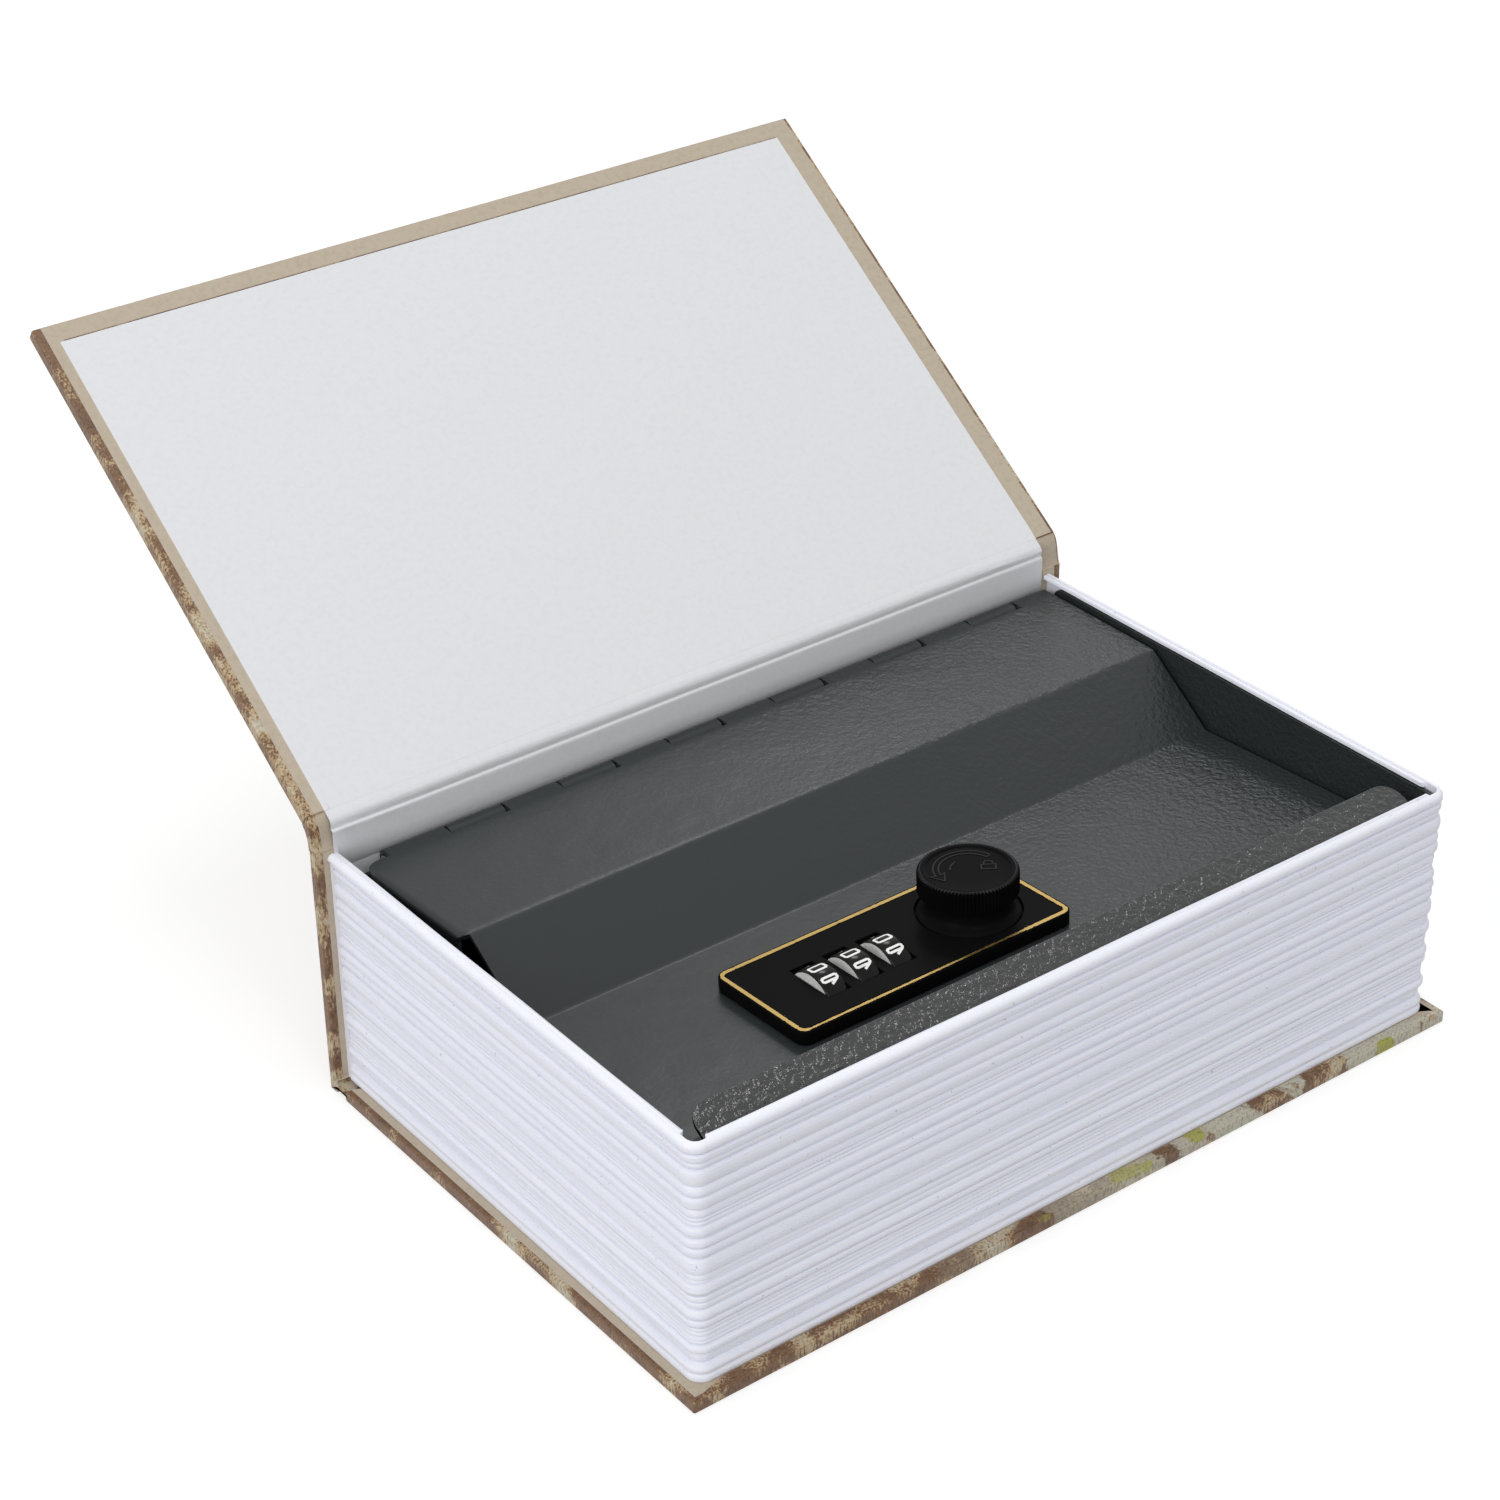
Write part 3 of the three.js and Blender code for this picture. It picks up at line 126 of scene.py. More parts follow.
# Lock: a frame that lies on the tilted lower flat of the lid
LOCK_ORIGIN, LOCK_TILT = (-16.0, -19.6, 40.0184), math.radians(3.3)
PLATE_LENGTH, PLATE_DEPTH, PLATE_HEIGHT = 62.2, 25.6, 2.95
LINE_INSET, LINE_WIDTH, LINE_CORNER = 0.725, 0.85, 1.475
WHEEL_X, WHEEL_Y, WHEEL_Z = (-17.7, -10.32, -2.94), -0.7, -1.3
WHEEL_RADIUS, WHEEL_WIDTH, WHEEL_BORE = 6.2, 4.6, 2.1
KNOB_X, KNOB_BOTTOM, KNOB_TOP, KNURL_HEIGHT, KNURL_TEETH, KNURL_CUT = 17.0, 2.35, 11.65, 4.5, 84, 0.45
LOCK_MATRIX = Matrix.Translation(LOCK_ORIGIN) @ Matrix.Rotation(-LOCK_TILT, 4, "X")

# Steel: the rolled flange with its thick coat, painted darker as shade, and the left flange of the lid, which leans out
BEAD_REAR_Y, BEAD_LOW_Z = -44.4, 45.5
LID_TOP_Z, LEFT_FLANGE_X, LEAN_FRONT_Y, LEAN_REAR_Y, LEAN_OUT = 50, -79, 21, 48, 1.0


def colour_setting(name, hex_colour, description):
    """A colour in the panel."""
    return FloatVectorProperty(name=name, description=description, subtype="COLOR", size=4, min=0, max=1,
                               default=linear(hex_colour))


def length_setting(name, metres, description, low=0):
    """A small length in the panel."""
    return FloatProperty(name=name, description=description, default=metres, min=low, unit="LENGTH")


def power_setting(name, watts, description):
    """The power of a lamp in the panel."""
    return FloatProperty(name=name, description=description, default=watts, unit="POWER")


class BookSafeStage(bpy.types.PropertyGroup):
    """Light and camera."""

    key_power: power_setting("Overhead lamp", 4.4, "Power of the overhead softbox")
    left_power: power_setting("Left lamp", 7.0, "Power of the fill on the left")
    front_power: power_setting("Front lamp", 4.9, "Power of the fill above the front")
    rear_power: power_setting("Rear lamp", 1.45, "Power of the small softbox at the rear right")
    sky: FloatProperty(name="Sky", description="Strength of the white room around the object", default=0.5, min=0)
    lens: FloatProperty(name="Lens", description="Focal length on a 36 mm sensor", default=80.748, unit="CAMERA")


class BookSafePapers(bpy.types.PropertyGroup):
    """Papers of the book case."""

    print_brown: colour_setting("Print, brown", "#7A5A3E", "Reddish brown of the marbled print")
    print_tan: colour_setting("Print, tan", "#BBA27C", "Tan flecks of the marbled print")
    print_pale: colour_setting("Print, pale", "#C5C0AD", "Grey-white patches of the print")
    print_olive: colour_setting("Print, olive", "#A9A84E", "Olive patches of the print")
    turn_in: colour_setting("Turn-in", "#C1B4A1", "Unprinted back of the paper at the turn-ins")
    endpaper: colour_setting("Endpaper", "#E7E8EB", "White endpaper and spine lining")
    edge_round: length_setting("Edge round", 0.0004, "Rounding of the paper over the board's edges")


class BookSafeBlock(bpy.types.PropertyGroup):
    """Moulded page block."""

    colour: colour_setting("Plastic", "#F4F5FF", "Moulded page plastic")
    wave: length_setting("Page wave", 0.00003, "How far the page bundles wander along the block")


class BookSafeSteel(bpy.types.PropertyGroup):
    """Powder-coated box and lid."""

    coat: colour_setting("Powder coat", "#2D3132", "Dark grey powder coat")
    edge_round: length_setting("Edge round", 0.00018, "Rounding of the coat over sheet edges")


class BookSafeLock(bpy.types.PropertyGroup):
    """Number lock and knob."""

    plastic: colour_setting("Black plastic", "#0F0F10", "Lock case, wheels and knob")
    digit: colour_setting("Digits", "#FCFCFA", "Filled digits on the wheels")
    gold: colour_setting("Gold line", "#B0955A", "Hot-foiled border of the lock plate")
    stroke: length_setting("Digit stroke", 0.0005, "Line width of the digits", 0.0001)
    knurl_teeth: IntProperty(name="Knurl teeth", description="Ribs round the knob", default=KNURL_TEETH, min=12)


# Materials. The scale of a noise is in steps per metre: 1000 gives a grain of 1 mm.

BLACK, WHITE = (0, 0, 0, 1), (1, 1, 1, 1)


def add_node(tree, kind, inputs=None, links=None, stops=(), **settings):
    """Adds a shader node with its settings, input values, incoming links and, on a ramp, its stops."""
    made = tree.nodes.new("ShaderNode" + kind)
    for key, value in settings.items():
        setattr(made, key, value)
    for key, value in (inputs or {}).items():
        made.inputs[key].default_value = value
    for key, source in (links or {}).items():
        tree.links.new(source, made.inputs[key])
    for index, (position, colour) in enumerate(stops):
        elements = made.color_ramp.elements
        element = elements[index] if index < len(elements) else elements.new(position)
        element.position, element.color = position, colour
    return made


def dimmed(colour, factor):
    """A colour with its channels scaled."""
    return tuple(c * factor for c in colour[:3]) + (1.0,)


def start_material(name, **sockets):
    """A Principled material with values on its own sockets. Returns material, tree, shader and coordinates."""
    material = bpy.data.materials.new(name)
    material.use_nodes = True
    tree = material.node_tree
    shader = tree.nodes["Principled BSDF"]
    for key, value in sockets.items():
        shader.inputs[key.replace("_", " ")].default_value = value
    place = add_node(tree, "TexCoord").outputs["Object"]
    return material, tree, shader, place


def printed_paper(papers):
    """Art paper, offset print under matt film: soft sheen; brown with tan flecks 0.4 to 1.5 mm long, in drifts.

    Towards the right of the fore edge the print turns to grey-white and olive patches 5 to 15 mm wide.
    """
    material, tree, shader, place = start_material("printed_art_paper_matt_film", Roughness=0.42)
    brown, tan, pale = tuple(papers.print_brown), tuple(papers.print_tan), tuple(papers.print_pale)
    drift = add_node(tree, "TexNoise", {"Scale": 130.0, "Detail": 4.0, "Distortion": 0.4}, {"Vector": place})
    stretch = add_node(tree, "Mapping", {"Scale": (2300.0, 2300.0, 800.0)}, {"Vector": place})
    fleck = add_node(tree, "TexNoise", {"Scale": 1.0, "Detail": 4.0, "Roughness": 0.65},
                     {"Vector": stretch.outputs["Vector"]})
    both = add_node(tree, "Mix", {"Factor": 0.36}, {"A": drift.outputs["Fac"], "B": fleck.outputs["Fac"]})
    marbling = ((0.37, dimmed(brown, 0.65)), (0.43, brown), (0.49, brown), (0.55, tan), (0.64, pale))
    colour = add_node(tree, "ValToRGB", links={"Fac": both.outputs["Result"]}, stops=marbling).outputs["Color"]

    # How far a place lies towards the right of the fore edge, and the patches there
    axes = add_node(tree, "SeparateXYZ", links={"Vector": place})
    right = add_node(tree, "MapRange", {"From Min": -0.045, "From Max": 0.03}, {"Value": axes.outputs["X"]})
    fore = add_node(tree, "MapRange", {"From Min": -0.052, "From Max": -0.055}, {"Value": axes.outputs["Y"]})
    corner = add_node(tree, "Math", operation="MULTIPLY",
                      links={0: right.outputs["Result"], 1: fore.outputs["Result"]})
    for patch, offset, noise, low, high in (
            (pale, (0, 0, 0), {"Scale": 75.0, "Detail": 5.0, "Roughness": 0.6}, 0.44, 0.47),
            (tuple(papers.print_olive), (0.31, 0.07, 0.0), {"Scale": 70.0, "Detail": 3.0}, 0.58, 0.595)):
        moved = add_node(tree, "Mapping", {"Location": offset}, {"Vector": place})
        blot = add_node(tree, "TexNoise", noise, {"Vector": moved.outputs["Vector"]})
        mask = add_node(tree, "ValToRGB", links={"Fac": blot.outputs["Fac"]},
                        stops=((low, BLACK), (high, WHITE)))
        here = add_node(tree, "Math", operation="MULTIPLY",
                        links={0: mask.outputs["Color"], 1: corner.outputs["Value"]})
        colour = add_node(tree, "Mix", {"B": patch}, {"Factor": here.outputs["Value"], "A": colour},
                          data_type="RGBA").outputs["Result"]
    grime = add_node(tree, "ValToRGB", links={"Fac": fleck.outputs["Fac"]},
                     stops=((0.36, (0.4, 0.34, 0.3, 1)), (0.51, WHITE)))
    final = add_node(tree, "Mix", {"Factor": 0.7}, {"A": colour, "B": grime.outputs["Color"]},
                     data_type="RGBA", blend_type="MULTIPLY")
    tree.links.new(final.outputs["Result"], shader.inputs["Base Color"])
    # Paper surface under film, fibres about 0.4 mm apart
    fibre = add_node(tree, "TexNoise", {"Scale": 2500.0, "Detail": 2.0}, {"Vector": place})
    bump = add_node(tree, "Bump", {"Strength": 0.25, "Distance": 0.00004}, {"Height": fibre.outputs["Fac"]})
    tree.links.new(bump.outputs["Normal"], shader.inputs["Normal"])
    return material


def page_plastic(block):
    """Injection-moulded polystyrene, satin: pale lilac white with a fine eroded-tool grain and stray specks."""
    material, tree, shader, place = start_material("moulded_polystyrene_pages", Roughness=0.46, IOR=1.59,
                                                   Subsurface_Weight=0.04, Subsurface_Scale=0.002)
    speck = add_node(tree, "TexNoise", {"Scale": 1300.0, "Detail": 1.0}, {"Vector": place})
    colour = add_node(tree, "ValToRGB", links={"Fac": speck.outputs["Fac"]},
                      stops=((0.215, dimmed(block.colour, 0.72)), (0.245, block.colour)))
    tree.links.new(colour.outputs["Color"], shader.inputs["Base Color"])
    grain = add_node(tree, "TexNoise", {"Scale": 1800.0, "Detail": 3.0}, {"Vector": place})
    bump = add_node(tree, "Bump", {"Strength": 0.35, "Distance": 0.00005}, {"Height": grain.outputs["Fac"]})
    tree.links.new(bump.outputs["Normal"], shader.inputs["Normal"])
    return material


def powder_coat(name, colour, grain_mm, depth_mm, peel_from, gloss, specular):
    """Baked powder coat on sheet steel: orange peel at its grain size, which grows from left to right.

    Broad waves about 8 mm long lie under it, where the coat sagged before it set.
    """
    material, tree, shader, place = start_material(name, Base_Color=colour, Roughness=gloss,
                                                   Specular_IOR_Level=specular)
    axes = add_node(tree, "SeparateXYZ", links={"Vector": place})
    amount = add_node(tree, "MapRange", interpolation_type="SMOOTHSTEP", links={"Value": axes.outputs["X"]},
                      inputs={"From Min": -0.03, "From Max": 0.06, "To Min": peel_from, "To Max": 1.0})
    peel = add_node(tree, "TexNoise", {"Scale": 1000 / grain_mm, "Detail": 2.5, "Roughness": 0.5},
                    {"Vector": place})
    sag = add_node(tree, "TexNoise", {"Scale": 125.0, "Detail": 1.0}, {"Vector": place})
    waves = add_node(tree, "Bump", {"Distance": 0.00016}, {"Height": sag.outputs["Fac"]})
    bump = add_node(tree, "Bump", {"Distance": depth_mm * MM},
                    {"Height": peel.outputs["Fac"], "Strength": amount.outputs["Result"],
                     "Normal": waves.outputs["Normal"]})
    tree.links.new(bump.outputs["Normal"], shader.inputs["Normal"])
    return material


def grained(name, scale, detail, bump=None, tint=(), gloss=None, lines=None, **sockets):
    """A material with one noise. It raises a grain of some strength and depth, tints the colour by the stops and
    varies the roughness between two values. Lines stretch the noise along the way the metal was worked."""
    material, tree, shader, place = start_material(name, **sockets)
    if lines:
        place = add_node(tree, "Mapping", {"Scale": lines}, {"Vector": place}).outputs["Vector"]
    grain = add_node(tree, "TexNoise", {"Scale": scale, "Detail": detail}, {"Vector": place}).outputs["Fac"]
    if tint:
        ramp = add_node(tree, "ValToRGB", links={"Fac": grain}, stops=tint)
        tree.links.new(ramp.outputs["Color"], shader.inputs["Base Color"])
    if gloss:
        rough = add_node(tree, "MapRange", {"To Min": gloss[0], "To Max": gloss[1]}, {"Value": grain})
        tree.links.new(rough.outputs["Result"], shader.inputs["Roughness"])
    if bump:
        raised = add_node(tree, "Bump", {"Strength": bump[0], "Distance": bump[1]}, {"Height": grain})
        tree.links.new(raised.outputs["Normal"], shader.inputs["Normal"])
    return material


def finish(name):
    """The material of that name, made once from the settings."""
    if name in bpy.data.materials:
        return bpy.data.materials[name]
    scene = bpy.context.scene
    papers, lock, coat = scene.book_safe_papers, scene.book_safe_lock, scene.book_safe_steel.coat

    # Uncoated paper: matt, with a faint fleck from fibres about 0.5 mm long, drawn 1 mm so that they show
    def plain_paper(colour, shade):
        return grained(name, 900.0, 4.0, (0.3, 0.00005), ((0.25, linear(shade)), (0.55, tuple(colour))),
                       Roughness=0.75, Specular_IOR_Level=0.35)

    # Moulded ABS: black with a faint waviness from the tool and a sheen that depends on its polish
    def moulded_black(roughness, specular, peel):
        return grained(name, 1500.0, 2.0, (peel, 0.00003), Base_Color=tuple(lock.plastic), Roughness=roughness,
                       IOR=1.54, Specular_IOR_Level=specular)

    # Paint pressed into moulded plastic: even, slightly rough
    def filled_paint(colour):
        return grained(name, 1700.0, 2.0, tint=((0.3, dimmed(colour, 0.85)), (0.5, tuple(colour))), Roughness=0.5)

    # Plated or drawn metal with fine lines along one direction, spaced as the process leaves them
    def bare_metal(colour, roughness, lines):
        return grained(name, 1.0, 3.0, (0.2, 0.00002), gloss=(roughness * 0.75, roughness * 1.35), lines=lines,
                       Base_Color=linear(colour), Metallic=1.0, Roughness=roughness)

    # A fibrous or cellular sheet such as greyboard or foam, mottled at its grain size
    def fibrous(light, dark, grain_mm, depth):
        return grained(name, 1000.0 / grain_mm, 5.0, (0.6, depth), ((0.3, linear(dark)), (0.62, linear(light))),
                       Roughness=0.92, Specular_IOR_Level=0.2)

    makers = {
        "printed_art_paper_matt_film": lambda: printed_paper(papers),
        "uncoated_paper_back": lambda: plain_paper(papers.turn_in, "#B8AB97"),
        "white_wove_endpaper": lambda: plain_paper(papers.endpaper, "#E3E4E7"),
        "moulded_polystyrene_pages": lambda: page_plastic(scene.book_safe_block),
        "powder_coat_on_sheet_steel": lambda: powder_coat(name, dimmed(coat, 1.0), 1.15, 0.3, 0.15, 0.33, 0.33),
        # Rolled flange: the box's coat with coarser peel, its colour cut to 0.4 as painted shade between the glints
        "powder_coat_orange_peel_painted_shade": lambda: powder_coat(name, dimmed(coat, 0.4), 1.35, 0.62, 1.0, 0.16, 0.75),
        "satin_moulded_abs": lambda: moulded_black(0.34, 0.015, 0.2),
        "polished_moulded_abs": lambda: moulded_black(0.16, 0.13, 0.1),
        "white_filled_digits": lambda: filled_paint(lock.digit),
        "grey_wheel_side": lambda: filled_paint(linear("#F0F0EE")),
        # Foil on black plastic: a metallic line, slightly uneven where the foil took badly
        "hot_stamped_gold_foil": lambda: grained(name, 1400.0, 3.0, (0.4, 0.00003), gloss=(0.26, 0.52),
                                                 Base_Color=tuple(lock.gold), Metallic=1.0, Roughness=0.34),
        "zinc_plated_steel": lambda: bare_metal("#A9ACAF", 0.32, (400, 2500, 2500)),
        "turned_brass": lambda: bare_metal("#C7A558", 0.28, (3500, 500, 500)),
        "greyboard": lambda: fibrous("#A9A498", "#8C867A", 0.8, 0.0001),
        "white_foam_tape": lambda: fibrous("#E2E2DE", "#C4C4BF", 0.35, 0.00015),
    }
    return makers[name]()


# Mesh building

def link_piece(name, mesh, finishes, body, replaced=(), sharp=35.0):
    """Puts a mesh into the scene as a piece of the object, shaded smooth except over sharp edges."""
    for finish_name in finishes:
        mesh.materials.append(finish(finish_name))
    mesh.shade_smooth()
    mesh.set_sharp_from_angle(angle=math.radians(sharp))
    piece = bpy.data.objects.new(name, mesh)
    bpy.context.scene.collection.objects.link(piece)
    if replaced:
        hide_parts(*replaced)
    if body:
        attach(piece, body)
    return piece


def mesh_from(name, points, faces, slots=None):
    """A mesh from points in millimetres, faces and a material slot for each face."""
    mesh = bpy.data.meshes.new(name)
    mesh.from_pydata([(x * MM, y * MM, z * MM) for x, y, z in points], [], faces)
    if slots is not None:
        mesh.polygons.foreach_set("material_index", slots)
    mesh.validate()
    return mesh


def grid_faces(rows, columns, close_rows=False, close_columns=False):
    """Quads of a grid of rows by columns of points."""
    faces = []
    for r in range(rows - (0 if close_rows else 1)):
        for c in range(columns - (0 if close_columns else 1)):
            r1, c1 = (r + 1) % rows, (c + 1) % columns
            faces.append((r * columns + c, r1 * columns + c, r1 * columns + c1, r * columns + c1))
    return faces


def rounded_copy(node, name, finishes, body, width, slot_of=None, sharp=35.0, segments=2, cuts=(), roll=None,
                 move=None):
    """A welded copy of the node with whole faces and rounded edges, in its place.

    Slot_of gives each face its finish from its centre and normal. Cuts divide faces between finishes, each an axis
    and a place along it. Move shifts corners, and roll picks the edges to roll over a larger radius.
    """
    working = bmesh.new()
    working.from_mesh(frame["nodes"][node].data)
    bmesh.ops.remove_doubles(working, verts=working.verts, dist=WELD_DISTANCE)
    bmesh.ops.dissolve_limit(working, angle_limit=FLAT_ANGLE, verts=working.verts, edges=working.edges)
    for axis, place in cuts:
        normal = Vector([float(i == axis) for i in range(3)])
        everything = working.verts[:] + working.edges[:] + working.faces[:]
        bmesh.ops.bisect_plane(working, geom=everything, plane_co=normal * place * MM, plane_no=normal, dist=1e-7)
    for corner in working.verts if move else ():
        corner.co += Vector(move(corner.co / MM)) * MM
    if roll:
        edges = [edge for edge in working.edges if roll(edge)]
        bmesh.ops.bevel(working, geom=edges, offset=ROLLED_EDGE, segments=5, profile=0.5, affect="EDGES")
    bmesh.ops.recalc_face_normals(working, faces=working.faces)
    working.verts.index_update()
    points = [v.co / MM for v in working.verts]
    faces = [[v.index for v in face.verts] for face in working.faces]
    slots = [slot_of(face.calc_center_median() / MM, face.normal) if slot_of else 0 for face in working.faces]
    working.free()
    piece = link_piece(name, mesh_from(name, points, faces, slots), finishes, body, (node,), sharp)
    bevel = piece.modifiers.new("rounded_edges", "BEVEL")
    bevel.width = width
    bevel.segments = segments
    bevel.limit_method = "ANGLE"
    bevel.angle_limit = math.radians(sharp)
    bevel.use_clamp_overlap = False
    bevel.harden_normals = True


def repaint(finish_name, *nodes):
    """Gives kept nodes their finish."""
    for node in nodes:
        for material_slot in frame["nodes"][node].material_slots:
            material_slot.material = finish(finish_name)


def opened(y, z):
    """Where a point of the closed front cover lies once the cover is open."""
    dy, dz, c, s = y - HINGE_Y, z - HINGE_Z, math.cos(OPEN_ANGLE), math.sin(OPEN_ANGLE)
    return HINGE_Y + dy * c + dz * s, HINGE_Z - dy * s + dz * c


def bezier(p0, p1, p2, p3, steps):
    """Points along a cubic curve in Y and Z."""
    curve = []
    for i in range(steps + 1):
        t = i / steps
        weights = ((1 - t) ** 3, 3 * t * (1 - t) ** 2, 3 * t * t * (1 - t), t ** 3)
        curve.append(tuple(sum(w * p[k] for w, p in zip(weights, (p0, p1, p2, p3))) for k in (0, 1)))
    return curve


def smooth_series(rng, count, knots, amplitude):
    """A smooth random series of that many values."""
    places = np.linspace(0, knots, count)
    values = rng.uniform(-amplitude, amplitude, knots + 2)
    low = np.floor(places).astype(int)
    part = places - low
    part = part * part * (3 - 2 * part)
    return values[low] * (1 - part) + values[low + 1] * part


# Pieces

def build_papers(papers):
    """Wraps with their turn-ins, endpapers and the spine's lining."""
    cover_inside = Vector((0, -math.sin(OPEN_ANGLE), -math.cos(OPEN_ANGLE)))

    def back_slot(centre, normal):
        if centre.y > SPINE_INNER_Y - 0.1 and centre.z > COVER_THICKNESS:
            inside = normal.y < -0.5 or normal.z > 0.5 or abs(centre.x) < HALF_LENGTH - 0.1 and abs(normal.x) > 0.5
            return int(inside and abs(centre.x) < SPINE_PRINT_X)
        inside = normal.z > 0.5 or (centre.z > 0.5 and abs(centre.x) < HALF_LENGTH - 0.2 and abs(normal.x) > 0.5)
        return int(inside and centre.y > BACK_PRINT_Y and abs(centre.x) < BACK_PRINT_X)

    def cover_slot(centre, normal):
        return int(normal.dot(cover_inside) > 0.5 and COVER_PRINT_LEFT_X < centre.x < COVER_PRINT_RIGHT_X)

    finishes = ("printed_art_paper_matt_film", "uncoated_paper_back")
    width = papers.edge_round
    cuts = [(0, x) for x in (-BACK_PRINT_X, BACK_PRINT_X, -SPINE_PRINT_X, SPINE_PRINT_X)] + [(1, BACK_PRINT_Y)]
    rounded_copy("case_wrap", "book_case_wrap", finishes, "book", width, back_slot, segments=3,
                 cuts=cuts)
    rounded_copy("front_cover_wrap", "cover_wrap", finishes, "front_cover", width, cover_slot,
                 segments=3, cuts=[(0, x) for x in (COVER_PRINT_LEFT_X, COVER_PRINT_RIGHT_X)])

    # The cover's endpaper is glued off centre, over the edges of the turn-ins
    rows = ((ENDPAPER_FRONT_Y, ENDPAPER_LIFT), (FRONT_BOARD_REAR_Y - 2, ENDPAPER_LIFT), (FRONT_BOARD_REAR_Y, 0))
    points = [(x, *opened(y, z)) for x in (ENDPAPER_LEFT_X, ENDPAPER_RIGHT_X) for y, lift in rows
              for z in (COVER_INNER_Z - lift, COVER_INNER_Z + PAPER)]
    faces = ((0, 2, 8, 6), (2, 4, 10, 8), (1, 7, 9, 3), (3, 9, 11, 5), (0, 1, 3, 2), (2, 3, 5, 4), (6, 8, 9, 7),
             (8, 10, 11, 9), (0, 6, 7, 1), (4, 5, 11, 10))
    link_piece("cover_endpaper", mesh_from("cover_endpaper", points, faces), ("white_wove_endpaper",), "front_cover",
               ("front_endpaper",))

    # The fore-edge turn-in lies over the head and tail turn-ins, mitred at a low angle at both ends
    top, low = COVER_THICKNESS + 0.22, COVER_THICKNESS - 0.1
    front, rear = -HALF_DEPTH + 0.3, BLOCK_FRONT_Y - 0.02
    outline = [(-HALF_LENGTH + 0.5, front + 0.1)]
    outline += [(x, front + 0.03 * math.sin(x * 0.2)) for x in np.linspace(-88.5, 88.5, 60)]
    outline += [(HALF_LENGTH - 0.5, front + 0.1), (82.2, rear), (-82.2, rear)]
    size = len(outline)
    points = [(x, y, low) for x, y in outline] + [(x, y, top) for x, y in outline]
    faces = [tuple(reversed(range(size))), tuple(range(size, 2 * size))]
    faces += [(i, (i + 1) % size, (i + 1) % size + size, i + size) for i in range(size)]
    fold = link_piece("fore_edge_turn_in", mesh_from("fore_edge_turn_in", points, faces), finishes[:1], "book")
    soften = fold.modifiers.new("soft_fold", "BEVEL")
    soften.width = 0.00008
    soften.limit_method = "ANGLE"
    repaint("white_wove_endpaper", "back_endpaper", "spine_lining")
    repaint("greyboard", "back_cover_board", "spine_board", "front_cover_board")
    repaint("white_foam_tape", "foam_tape_1", "foam_tape_2")


